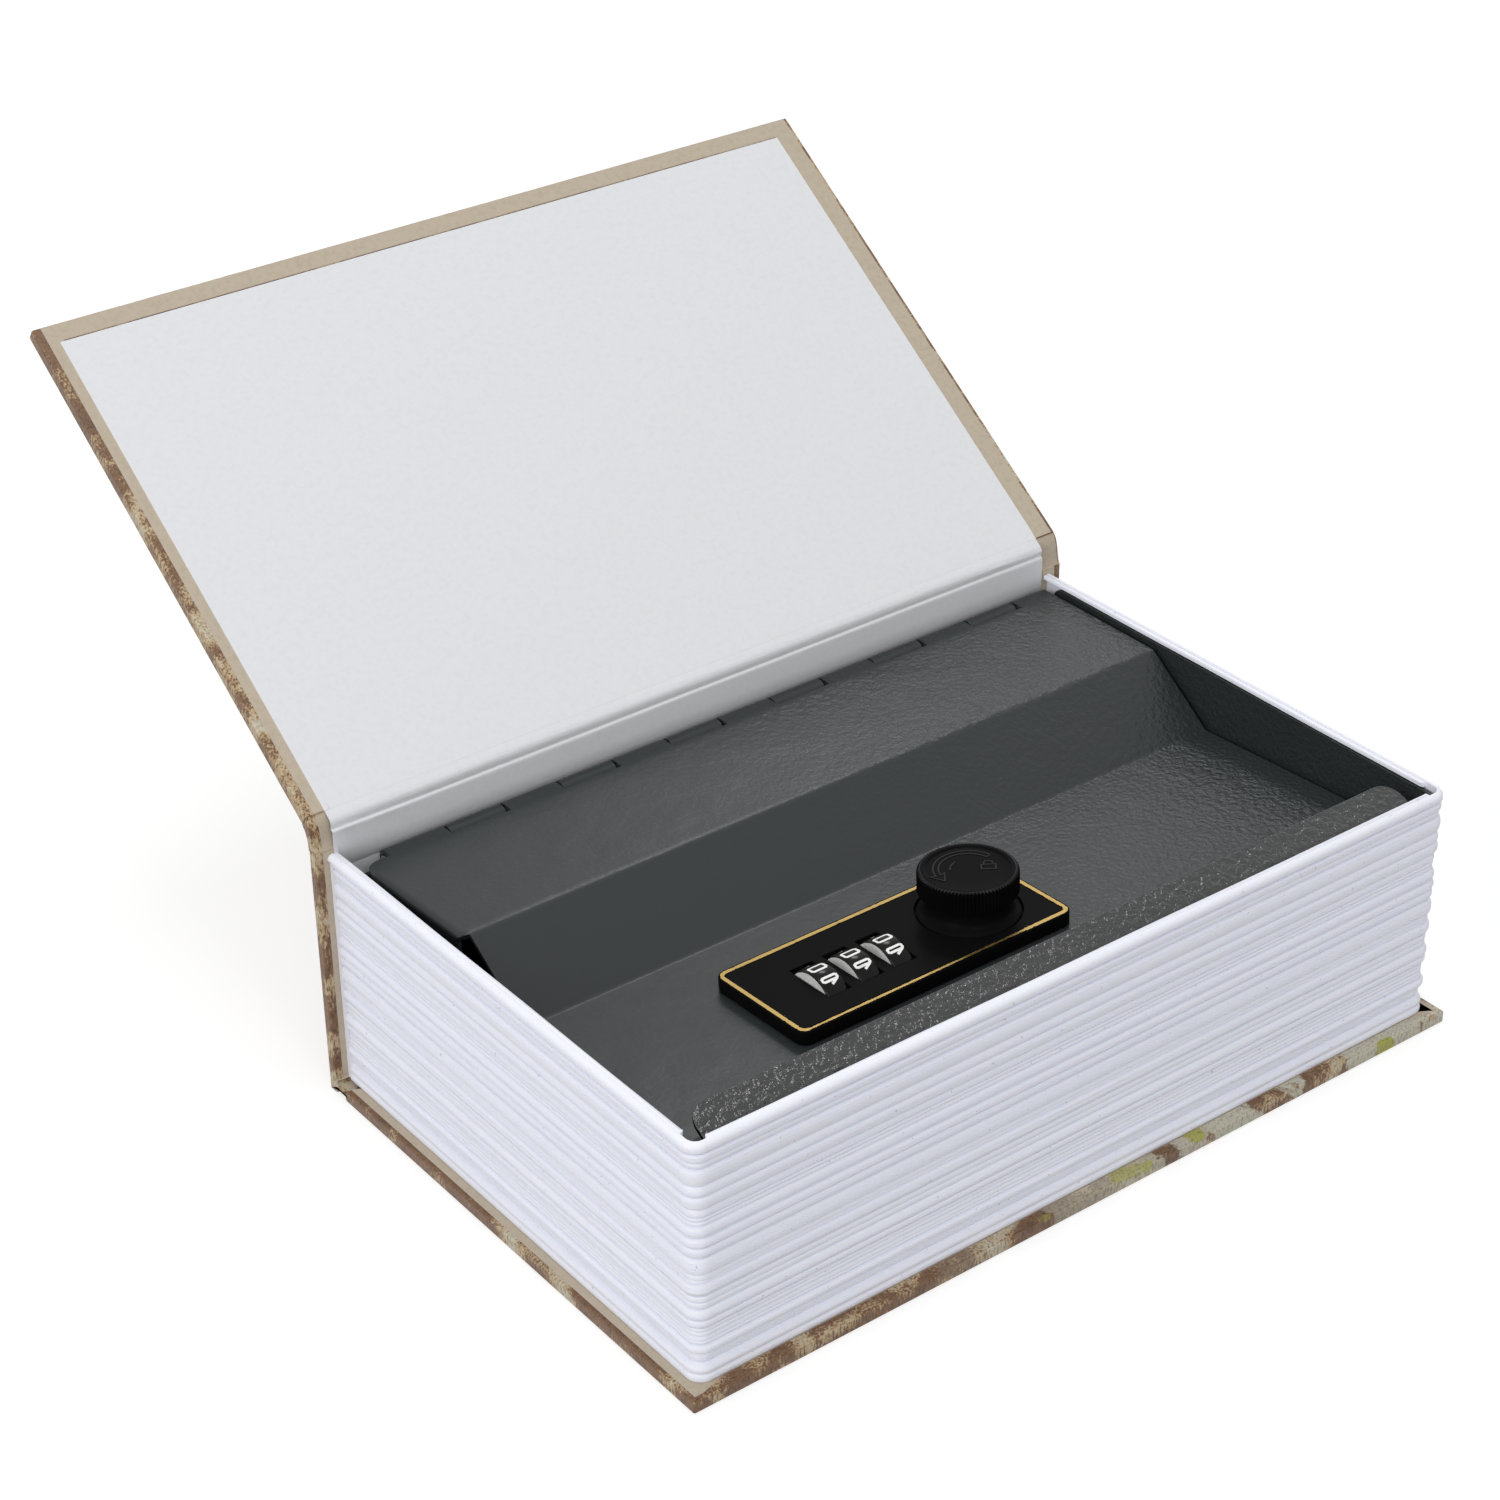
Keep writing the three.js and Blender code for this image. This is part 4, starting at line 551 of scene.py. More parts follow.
def build_joints():
    """Paper joints between spine and cover: a closed printed band, and the endpaper that crosses it inside."""
    steps, columns = 14, 46
    outer = bezier((HALF_DEPTH, SPINE_TOP_Z), (HALF_DEPTH, SPINE_TOP_Z + 1.6),
                   opened(FRONT_BOARD_REAR_Y + 1.5, THICKNESS), opened(FRONT_BOARD_REAR_Y, THICKNESS), steps)
    inner = bezier((SPINE_INNER_Y + PAPER, SPINE_TOP_Z), (56.6, 55.0), (56.2, 57.9),
                   opened(FRONT_BOARD_REAR_Y, COVER_INNER_Z + 0.2), steps)
    rng = np.random.default_rng(7)
    loop = outer + inner[::-1]
    rows = len(loop)
    run = np.linspace(-HALF_LENGTH + 2, HALF_LENGTH - 2, columns - 4)
    xs = np.concatenate(([-HALF_LENGTH, -HALF_LENGTH + 0.35], run, [HALF_LENGTH - 0.35, HALF_LENGTH]))
    mid_y, mid_z = (sum(p[k] for p in loop) / rows for k in (0, 1))
    points = []
    for x in xs:
        pull = 0.075 if abs(x) > HALF_LENGTH - 0.1 else 0.0
        points += [(x, y + (mid_y - y) * pull, z + (mid_z - z) * pull) for y, z in loop]
    faces = grid_faces(len(xs), rows, close_columns=True)
    slots = [int(steps < i % rows < rows - 1 and abs(xs[i // rows]) < HALF_LENGTH - 1.5) for i in range(len(faces))]
    faces += [tuple(range(rows))[::-1], tuple((len(xs) - 1) * rows + i for i in range(rows))]
    slots += [0, 0]
    mesh = mesh_from("outer_joint", points, faces, slots)
    band = link_piece("outer_joint", mesh, ("printed_art_paper_matt_film", "uncoated_paper_back"), None,
                      ("outer_joint_paper",), 50)
    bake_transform(band)

    # Inner strip: flush with the endpaper, over a nose, under it into the crease, then down in front of the spine
    half = ENDPAPER_RIGHT_X - 0.15
    nose = (55.9, 58.4)
    strip = bezier(opened(FRONT_BOARD_REAR_Y + 0.02, COVER_INNER_Z), opened(FRONT_BOARD_REAR_Y + 1.2, COVER_INNER_Z),
                   (56.15, 58.85), nose, 8)
    strip += bezier(nose, (55.72, 58.1), (55.6, 57.4), (55.84, 56.8), 8)[1:]
    strip += [(55.88, 56.66), (55.78, 56.58), (55.6, 56.52), (55.47, 56.42), (55.4, 56.2), (55.38, 55.8),
              (55.375, 55.2), (55.375, 54.0), (55.375, 52.5), (55.375, 48.5)]
    strip.reverse()
    rows = len(strip)
    xs = np.linspace(ENDPAPER_LEFT_X, half, 220)
    ripple = [smooth_series(rng, len(xs), 40, 0.05) for _ in range(rows)]
    wander = smooth_series(rng, len(xs), 9, 0.08)
    crumple = smooth_series(rng, len(xs), 75, 1.0)
    fold = smooth_series(rng, len(xs), 60, 1.0)
    points = []
    for under in (0, 1):
        for column, x in enumerate(xs):
            left = 1 / (1 + math.exp((x + half - 13) / 1.6))
            right = 1 / (1 + math.exp((half - 15 - x) / 2.5))
            for row, (y, z) in enumerate(strip):
                ends = min(1.0, row / 3, (rows - 1 - row) / 3)
                ridge = math.exp(-((row - 5.4) / 1.3) ** 2)
                lift = ends * ripple[row][column] * 0.4
                lift += left * (0.22 + 0.2 * crumple[column]) * ridge
                lift += right * 0.2 * (1 + fold[column]) * math.exp(-((row - 15 - 3 * fold[column]) / 2.0) ** 2)
                gap = lift - under * 0.1
                drift = ends * wander[column]
                points.append((x, y - 0.8 * gap + drift * 0.3, z + 0.6 * gap + drift * 0.7))
    columns = len(xs)
    faces = grid_faces(columns, rows)
    below = [tuple(i + columns * rows for i in reversed(face)) for face in faces]
    rim = [c * rows for c in range(columns)] + [(columns - 1) * rows + r for r in range(1, rows)]
    rim += [c * rows + rows - 1 for c in range(columns - 2, -1, -1)] + [r for r in range(rows - 2, 0, -1)]
    sides = [(rim[i], rim[i - 1], rim[i - 1] + columns * rows, rim[i] + columns * rows) for i in range(len(rim))]
    mesh = mesh_from("inner_joint", points, faces + below + sides)
    inner_piece = link_piece("inner_joint", mesh, ("white_wove_endpaper",), None,
                             ("inner_joint_paper",), 60)
    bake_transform(inner_piece)


def page_stations():
    """Stations round the block: place, outward direction and distance from the plain strip at the rear."""
    rear = (0, PLAIN_STRIP, 1.32, 1.36, 1.43, 1.52, 1.63, 1.76, 1.92, 2.4)
    side = [float(y) for y in np.linspace(BLOCK_REAR_Y - 2.4, BLOCK_FRONT_Y + CORNER_RADIUS, 26)[1:-1]]
    stations = [(-BLOCK_X, BLOCK_REAR_Y - inset, -1.0, 0.0, inset - PLAIN_STRIP) for inset in rear]
    stations += [(-BLOCK_X, y, -1.0, 0.0, FAR_FROM_STRIP) for y in side]
    for centre_x, start in ((-BLOCK_X + CORNER_RADIUS, 180), (BLOCK_X - CORNER_RADIUS, 270)):
        for step in range(11):
            angle = math.radians(start + 9 * step)
            nx, ny = math.cos(angle), math.sin(angle)
            centre_y = BLOCK_FRONT_Y + CORNER_RADIUS
            stations.append((centre_x + CORNER_RADIUS * nx, centre_y + CORNER_RADIUS * ny, nx, ny, FAR_FROM_STRIP))
        if centre_x < 0:
            for x in np.linspace(-BLOCK_X + CORNER_RADIUS, BLOCK_X - CORNER_RADIUS, 42)[1:-1]:
                stations.append((float(x), BLOCK_FRONT_Y, 0.0, -1.0, FAR_FROM_STRIP))
    return stations + [(-x, y, 1.0, 0.0, far) for x, y, _, _, far in reversed(stations[:len(rear) + len(side)])]


def rib_profile(rng):
    """Samples down the ribs: height, bundle, distance to its groove, crest, depth of a fine line, place across it."""
    samples = []
    edge = BLOCK_TOP_Z
    steps = (0.0, 0.015, 0.04, 0.08, 0.13, 0.2, 0.3)
    for index, (height, proud) in enumerate(PAGE_BUNDLES):
        reach = height / 2
        near = [d for d in steps if d < reach * 0.95]
        places = near + [height - d for d in reversed(near)] + [height * part for part in (0.2, 0.35, 0.5, 0.65, 0.8)]
        lines = []
        if height > 1.5:
            lines = sorted(rng.uniform(0.4, height - 0.4, rng.integers(2, 6 if height > 2.2 else 4)))
            for line in lines:
                places += [line - 0.07, line, line + 0.07]
        for place in sorted(set(round(float(p), 3) for p in places)):
            line_depth = 0.14 if any(abs(place - line) < 0.01 for line in lines) else 0.0
            crest = RIB_DEPTH * (proud if proud > 0.6 else proud * 2 - 0.9)
            side = (place - reach) / reach * min(1.0, height / 2)
            groove = place if index == len(PAGE_BUNDLES) - 1 else min(place, height - place)
            samples.append((edge - place, index, groove, crest, line_depth, side))
        edge -= height
    return samples


def build_page_block(block):
    """Ribbed wall swept round three sides, with its lips and foot. The ribs wander a little, as page bundles do."""
    rng = np.random.default_rng(11)
    stations = page_stations()
    count = len(stations)
    wave = block.wave / MM
    crest_top = RIB_DEPTH * PAGE_BUNDLES[0][1]
    samples = [s for s in rib_profile(rng) if s[0] < BLOCK_TOP_Z - RIM_ROUND][::-1]
    edges = [smooth_series(rng, count, 12, wave) for _ in range(len(PAGE_BUNDLES) + 1)]
    swell = [smooth_series(rng, count, 14, 0.035) for _ in PAGE_BUNDLES]
    lean = rng.uniform(-1, 1, len(PAGE_BUNDLES))
    floor = -GROOVE_BELOW
    heights = np.zeros((count, len(samples)))
    offsets = np.zeros((count, len(samples)))
    for s in range(count):
        inset = stations[s][4]
        for column, (z, index, groove, crest, line, side) in enumerate(samples):
            a, b = max(GROOVE_ROUND - groove, 0), max(GROOVE_ROUND - inset, 0)
            rise = max(0.0, 1 - (math.hypot(a, b) / GROOVE_ROUND) ** 2) ** 0.5 if inset > 0 else 0.0
            heights[s, column] = z + (edges[index][s] + edges[index + 1][s]) / 2
            face = floor + (crest - floor) * (1 + swell[index][s]) - line
            face += side * lean[index] * PAGE_LEAN - side * side * PAGE_CROWN
            offsets[s, column] = floor + (min(face, RIB_DEPTH) - floor) * rise if inset > 0 else 0.0
            if index == 0 and z > BLOCK_TOP_Z - PLAIN_RIM:
                offsets[s, column] = crest_top * min(1.0, rise + (z - BLOCK_TOP_Z + PLAIN_RIM) / 0.5)

    quarter = [math.radians(a) for a in range(0, 91, 9)]
    rim = [(crest_top - RIM_ROUND + RIM_ROUND * math.cos(a), BLOCK_TOP_Z - RIM_ROUND + RIM_ROUND * math.sin(a))
           for a in quarter]
    tail = rim + [(-WEB, BLOCK_TOP_Z), (-WEB, BLOCK_BOTTOM_Z)]
    points = []
    for s, (px, py, nx, ny, _) in enumerate(stations):
        section = [(offsets[s, i], heights[s, i]) for i in range(len(samples))] + tail
        for offset, z in section:
            out = offset - RIB_DEPTH
            points.append((px + nx * out, py + ny * out, z))
    columns = len(samples) + len(tail)
    faces = grid_faces(count, columns, close_columns=True)
    faces += [tuple(range(columns))[::-1], tuple((count - 1) * columns + i for i in range(columns))]

    def add_prism(outline, z0, z1):
        base = len(points)
        size = len(outline)
        points.extend([(x, y, z0) for x, y in outline] + [(x, y, z1 - 0.18) for x, y in outline])
        middle_x, middle_y = (sum(p[k] for p in outline) / size for k in (0, 1))
        for x, y in outline:
            points.append((x - 0.16 * np.sign(x - middle_x), y - 0.16 * np.sign(y - middle_y), z1))
        for level in (0, 1):
            for i in range(size):
                j = (i + 1) % size
                faces.append((base + level * size + i, base + level * size + j,
                              base + (level + 1) * size + j, base + (level + 1) * size + i))
        faces.append(tuple(base + i for i in reversed(range(size))))
        faces.append(tuple(base + 2 * size + i for i in range(size)))

    wall = BLOCK_X - RIB_DEPTH - WEB
    lip_x = wall - 1.0
    front = BLOCK_FRONT_Y + RIB_DEPTH + WEB
    for side in (-1, 1):
        inner = [(side * (lip_x + 0.05 * math.sin(y * 0.13 + side)), y)
                 for y in np.linspace(front + 4.2, BLOCK_REAR_Y, 24)]
        start = [(side * x, front + inset) for x, inset in ((wall, 3.6), (lip_x + 0.55, 3.62), (lip_x + 0.15, 3.8))]
        outline = start + inner + [(side * wall, BLOCK_REAR_Y)]
        add_prism(outline if side < 0 else outline[::-1], BLOCK_TOP_Z - LIP_THICKNESS, BLOCK_TOP_Z)
    half = wall - 2.9
    run = [(x, front + 1.0 + 0.06 * math.sin(x * 0.11)) for x in np.linspace(half - 0.6, -half + 0.6, 40)]
    outline = [(-half, front), (half, front), (half, front + 0.4), (half - 0.15, front + 0.8)] + run
    outline += [(-half + 0.15, front + 0.8), (-half, front + 0.4)]
    add_prism(outline, BLOCK_TOP_Z - LIP_THICKNESS, BLOCK_TOP_Z)
    foot_x = wall - 9
    foot = [(-wall, front), (wall, front), (wall, BLOCK_REAR_Y), (foot_x, BLOCK_REAR_Y), (foot_x, front + 9),
            (-foot_x, front + 9), (-foot_x, BLOCK_REAR_Y), (-wall, BLOCK_REAR_Y)]
    add_prism(foot, BLOCK_BOTTOM_Z, BLOCK_BOTTOM_Z + 1.2)
    mesh = mesh_from("page_frame", points, faces)
    link_piece("page_frame", mesh, ("moulded_polystyrene_pages",), "book", ("page_block",), 50)


def build_steel(steel):
    """Box and lid with the coat rounded over their sheet edges, and thick coat in painted shade on the rolled front
    flange.
    """
    coats = ("powder_coat_on_sheet_steel", "powder_coat_orange_peel_painted_shade")

    # Faces of the rolled flange, which take the coat darkened as painted shade
    def bead_slot(centre, normal):
        return int(centre.y < BEAD_REAR_Y and centre.z > BEAD_LOW_Z)

    rounded_copy("steel_box", "coated_box", coats, "book", steel.edge_round, bead_slot, sharp=38)
    rounded_copy("lid", "coated_lid", coats[:1], "lid", steel.edge_round, sharp=38, roll=lid_left_edge,
                 move=spread_left_flange)
    repaint("zinc_plated_steel", "hinge_pin", "latch_keeper")


def spread_left_flange(place):
    """The left flange of the lid leans out towards the box at its front end."""
    if place.x < LEFT_FLANGE_X - 0.6 and LEAN_FRONT_Y < place.y < LEAN_REAR_Y and place.z > LID_TOP_Z - 5.1:
        return -LEAN_OUT * (LEAN_REAR_Y - place.y) / (LEAN_REAR_Y - LEAN_FRONT_Y), 0, 0
    return 0, 0, 0


def lid_left_edge(edge):
    """The upper edge of the lid's left flange, which is rolled over a larger radius."""
    places = [v.co / MM for v in edge.verts]
    return all(abs(p.z - LID_TOP_Z) < 0.06 and p.x < LEFT_FLANGE_X and LEAN_FRONT_Y - 1 < p.y < LEAN_REAR_Y + 0.5
               for p in places)


DIGIT_WIDTH, DIGIT_HEIGHT, DIGIT_TURN, DIGIT_STEP = 3.6, 2.15, 7.2, 36
# Strokes of each digit in a box from 0 to 1 both ways, with square shoulders as on a counter wheel
DIGITS = {
    0: [[(0.1, 0), (0.9, 0), (1, 0.15), (1, 0.85), (0.9, 1), (0.1, 1), (0, 0.85), (0, 0.15), (0.1, 0)]],
    1: [[(0.3, 0.8), (0.55, 1), (0.55, 0)]],
    2: [[(0, 0.85), (0.1, 1), (0.9, 1), (1, 0.88), (1, 0.62), (0.9, 0.5), (0.1, 0.42), (0, 0.3), (0, 0), (1, 0)]],
    3: [[(0, 1), (0.9, 1), (1, 0.88), (1, 0.62), (0.9, 0.5), (0.35, 0.5)],
        [(0.9, 0.5), (1, 0.38), (1, 0.12), (0.9, 0), (0.1, 0), (0, 0.12)]],
    4: [[(0.75, 0), (0.75, 1), (0, 0.3), (1, 0.3)]],
    5: [[(1, 1), (0.05, 1), (0.05, 0.58), (0.9, 0.58), (1, 0.45), (1, 0.13), (0.9, 0), (0, 0)]],
    6: [[(0.6, 1), (0.1, 0.6), (0, 0.4), (0, 0.12), (0.1, 0), (0.9, 0), (1, 0.12), (1, 0.42), (0.9, 0.55),
         (0.1, 0.55)]],
    7: [[(0, 1), (1, 1), (0.4, 0)]],
    8: [[(0.1, 0.52), (0, 0.66), (0, 0.88), (0.1, 1), (0.9, 1), (1, 0.88), (1, 0.66), (0.9, 0.52), (0.1, 0.52),
         (0, 0.4), (0, 0.12), (0.1, 0), (0.9, 0), (1, 0.12), (1, 0.4), (0.9, 0.52)]],
    9: [[(0.9, 0.46), (0.1, 0.46), (0, 0.58), (0, 0.88), (0.1, 1), (0.9, 1), (1, 0.88), (1, 0.6), (0.9, 0.42),
         (0.45, 0)]],
}


def add_stroke(points, faces, slots, path, widths, place, slot=0):
    """Adds a raised line along a path, with mitred corners. Place turns a flat point and a level into a point."""
    closed = path[0] == path[-1]
    last = len(path) - 1
    base = len(points)
    for i, point in enumerate(path):
        before = path[i - 1] if i else (path[-2] if closed else None)
        after = path[i + 1] if i < last else (path[1] if closed else None)
        directions = []
        if before:
            directions.append(Vector((point[0] - before[0], point[1] - before[1])).normalized())
        if after:
            directions.append(Vector((after[0] - point[0], after[1] - point[1])).normalized())
        along = sum(directions, Vector((0, 0))).normalized()
        side = Vector((-along.y, along.x))
        reach = widths[i] / 2 / max(0.5, side.dot(Vector((-directions[0].y, directions[0].x))))
        for flat in (Vector(point) + side * reach, Vector(point) - side * reach):
            points += [place(flat, 0), place(flat, 1)]
    for i in range(last):
        a, b = base + 4 * i, base + 4 * (i + 1)
        faces += ((a + 1, b + 1, b + 3, a + 3), (a, a + 2, b + 2, b), (a, b, b + 1, a + 1),
                  (a + 2, a + 3, b + 3, b + 2))
        slots += [slot] * 4
    if not closed:
        faces += [(base, base + 1, base + 3, base + 2), (b, b + 2, b + 3, b + 1)]
        slots += [slot] * 2


def subdivided(path, longest):
    """A path with points added so that no step is longer than that."""
    result = [path[0]]
    for a, b in zip(path, path[1:]):
        pieces = max(1, math.ceil(math.dist(a, b) / longest))
        result += [(a[0] + (b[0] - a[0]) * i / pieces, a[1] + (b[1] - a[1]) * i / pieces)
                   for i in range(1, pieces + 1)]
    return result


def build_wheels(lock):
    """Number wheels: chamfered rims, pale left faces and white digits that stand a hair proud."""
    stroke = lock.stroke / MM
    half, chamfer, sides = WHEEL_WIDTH / 2, 0.3, 120
    profile = [(WHEEL_BORE, -half), (WHEEL_RADIUS - chamfer, -half), (WHEEL_RADIUS - 0.08, -half + 0.2),
               (WHEEL_RADIUS, -half + chamfer + 0.1)]
    profile += [(radius, -x) for radius, x in reversed(profile)]
    for index, wheel_x in enumerate(WHEEL_X):
        points = []
        for s in range(sides):
            angle = 2 * math.pi * s / sides
            for radius, x in profile:
                points.append((wheel_x + x, WHEEL_Y + radius * math.sin(angle), WHEEL_Z + radius * math.cos(angle)))
        faces = grid_faces(sides, len(profile), close_rows=True, close_columns=True)
        slots = [int(i % len(profile) == 0) for i in range(len(faces))]
        for digit, strokes in DIGITS.items():
            centre = math.radians(DIGIT_TURN + DIGIT_STEP * digit)
            for path in strokes:
                fine = subdivided([((u - 0.5) * (DIGIT_WIDTH - stroke), (v - 0.5) * (DIGIT_HEIGHT - stroke))
                                   for u, v in path], 0.4)

                def on_rim(flat, level):
                    angle = centre + flat.y / WHEEL_RADIUS
                    radius = WHEEL_RADIUS + (0.02 if level else -0.05)
                    return wheel_x + flat.x, WHEEL_Y + radius * math.sin(angle), WHEEL_Z + radius * math.cos(angle)

                add_stroke(points, faces, slots, fine, [stroke] * len(fine), on_rim, 2)
        placed = [LOCK_MATRIX @ Vector(p) for p in points]
        name = f"wheel_{index + 1}_with_digits"
        mesh = mesh_from(name, placed, faces, slots)
        link_piece(name, mesh, ("polished_moulded_abs", "grey_wheel_side", "white_filled_digits"),
                   f"wheel_{index + 1}", (f"number_wheel_{index + 1}",), 30)
        repaint("turned_brass", f"code_sleeve_{index + 1}")


def build_gold_line():
    """Gold line round the plate. The foil took badly along the front, where it is narrow and chipped."""
    half_x, half_y = PLATE_LENGTH / 2 - LINE_INSET, PLATE_DEPTH / 2 - LINE_INSET
    corners = ((half_x, half_y, 0), (-half_x, half_y, 90), (-half_x, -half_y, 180), (half_x, -half_y, 270))
    path = []
    for x, y, start in corners:
        middle_x, middle_y = x - math.copysign(LINE_CORNER, x), y - math.copysign(LINE_CORNER, y)
        for step in range(7):
            angle = math.radians(start + 15 * step)
            path.append((middle_x + LINE_CORNER * math.cos(angle), middle_y + LINE_CORNER * math.sin(angle)))
    path = subdivided(path + path[:1], 0.4)
    path[-1] = path[0]
    rng = np.random.default_rng(5)
    spread = smooth_series(rng, len(path), 90, 1.0)
    widths = []
    for (x, y), more in zip(path, spread):
        narrow = 0.62 + 0.12 * more if y < 0.1 - half_y and -29 < x < 20 else 0.96 + 0.04 * more
        widths.append(LINE_WIDTH * narrow * (0.7 if rng.random() < 0.05 else 1.0))
    widths[-1] = widths[0]
    points, faces, slots = [], [], []

    def on_plate(flat, level):
        return flat.x, flat.y, PLATE_HEIGHT + (0.025 if level else -0.04)

    add_stroke(points, faces, slots, path, widths, on_plate)
    mesh = mesh_from("gold_line", [LOCK_MATRIX @ Vector(p) for p in points], faces, slots)
    link_piece("gold_line", mesh, ("hot_stamped_gold_foil",), "lid", ("gold_border",), 30)


def build_lock_case():
    """Lock case with its gold line, and the works below it."""
    rounded_copy("lock_case", "lock_plate_and_body", ("satin_moulded_abs",), "lid", 0.00015, sharp=38)
    build_gold_line()
    repaint("zinc_plated_steel", "wheel_axle", "detent_spring", "clamp_frame", "knob_spindle", "latch_cam", "cam_screw",
            "clamp_screw_1", "clamp_screw_2", "back_plate_screw_1", "back_plate_screw_2")
    repaint("turned_brass", "fence_bar")
    repaint("satin_moulded_abs", "lock_back_plate", "reset_slide")


def knob_marks():
    """Outlines on the knob's top: a curved arrow for the way to turn it, and a padlock."""
    def arc(radius, start, end):
        steps = [math.radians(a) for a in np.linspace(start, end, 25)]
        return [(radius * math.cos(a), radius * math.sin(a)) for a in steps]

    arrow = arc(6.3, 10, 165) + [(-7.0, 2.1), (-5.9, -0.6), (-4.1, 1.6), (-5.05, 1.4)] + arc(5.3, 164, 10)
    arrow.append(arrow[0])
    across, away = Vector((0.8, -0.6)), Vector((0.6, 0.8))

    def padlock(u, v):
        return tuple(Vector((3.4, -1.7)) + across * u + away * v)

    body = [padlock(u, v) for u, v in ((-1.3, -1.1), (1.3, -1.1), (1.3, 0.5), (-1.3, 0.5), (-1.3, -1.1))]
    shackle = [padlock(u, v) for u, v in ((-0.8, 0.5), (-0.8, 1.3), (-0.5, 1.7), (0.5, 1.7), (0.8, 1.3), (0.8, 0.9))]
    return [arrow, arc(3.2, 95, 150), body, shackle]


def build_knob(lock):
    """Knob: fine knurl with rounded crests, flared skirt, dished top with a ring groove."""
    teeth = lock.knurl_teeth
    head = KNOB_TOP - KNURL_HEIGHT
    # Radius, height and depth of the knurl from the bore up and over the top
    profile = [
        (2.62, KNOB_BOTTOM, 0), (9.5, KNOB_BOTTOM, 0), (9.6, KNOB_BOTTOM + 0.1, 0), (9.6, KNOB_BOTTOM + 0.4, 0),
        (9.45, KNOB_BOTTOM + 0.6, 0), (8.9, KNOB_BOTTOM + 0.85, 0), (8.3, KNOB_BOTTOM + 1.3, 0),
        (7.9, KNOB_BOTTOM + 2.2, 0), (7.6, head - 0.9, 0), (7.75, head - 0.4, 0), (8.6, head - 0.15, 0),
        (9.1, head, 0.3), (9.3, head + 0.15, 0.8),
        (9.3, head + 0.5, 1), (9.3, KNOB_TOP - 1.0, 1), (9.28, KNOB_TOP - 0.6, 1), (9.15, KNOB_TOP - 0.32, 0.9),
        (8.9, KNOB_TOP - 0.12, 0.4), (8.6, KNOB_TOP - 0.03, 0.05), (8.3, KNOB_TOP, 0), (7.9, KNOB_TOP, 0),
        (7.75, KNOB_TOP - 0.1, 0), (7.6, KNOB_TOP - 0.25, 0), (7.4, KNOB_TOP - 0.3, 0), (4, KNOB_TOP - 0.3, 0),
        (0.4, KNOB_TOP - 0.3, 0),
    ]
    sides = teeth * 4
    knurl = (0.0, 0.5, 1.0, 0.5)
    points = []
    for s in range(sides):
        angle = 2 * math.pi * s / sides
        for radius, z, cut in profile:
            r = radius - KNURL_CUT * cut * knurl[s % 4]
            points.append((KNOB_X + r * math.cos(angle), r * math.sin(angle), z))
    columns = len(profile)
    faces = grid_faces(sides, columns, close_rows=True)
    faces.append(tuple(s * columns + columns - 1 for s in range(sides)))
    bore = [s * columns for s in range(sides)]
    base = len(points)
    for s in range(sides):
        x, y, _ = points[bore[s]]
        points.append((x, y, KNOB_TOP - 3.85))
    for s in range(sides):
        t = (s + 1) % sides
        faces.append((bore[s], base + s, base + t, bore[t]))
    faces.append(tuple(base + s for s in range(sides)))
    polished_rim = range(15, 18)
    slots = [int(i < sides * (columns - 1) and i % (columns - 1) in polished_rim) for i in range(len(faces))]

    def on_top(flat, level):
        return KNOB_X + flat.x, flat.y, KNOB_TOP - (0.2 if level else 0.34)

    for path in knob_marks():
        add_stroke(points, faces, slots, path, [0.26] * len(path), on_top, 1)
    mesh = mesh_from("knurled_knob", [LOCK_MATRIX @ Vector(p) for p in points], faces, slots)
    working = bmesh.new()
    working.from_mesh(mesh)
    bmesh.ops.recalc_face_normals(working, faces=working.faces)
    working.to_mesh(mesh)
    working.free()
    link_piece("knurled_knob", mesh, ("satin_moulded_abs", "polished_moulded_abs"), "knob",
               ("knob",), 42)


def seen_directly(tree):
    """1 for rays from the camera and rays that metal or glass sends on, 0 for the light that falls on things."""
    rays = add_node(tree, "LightPath")
    seen = rays.outputs["Is Camera Ray"]
    for kind in ("Is Glossy Ray", "Is Transmission Ray"):
        seen = add_node(tree, "Math", operation="MAXIMUM",
                        links={0: seen, 1: rays.outputs[kind]}).outputs["Value"]
    return seen


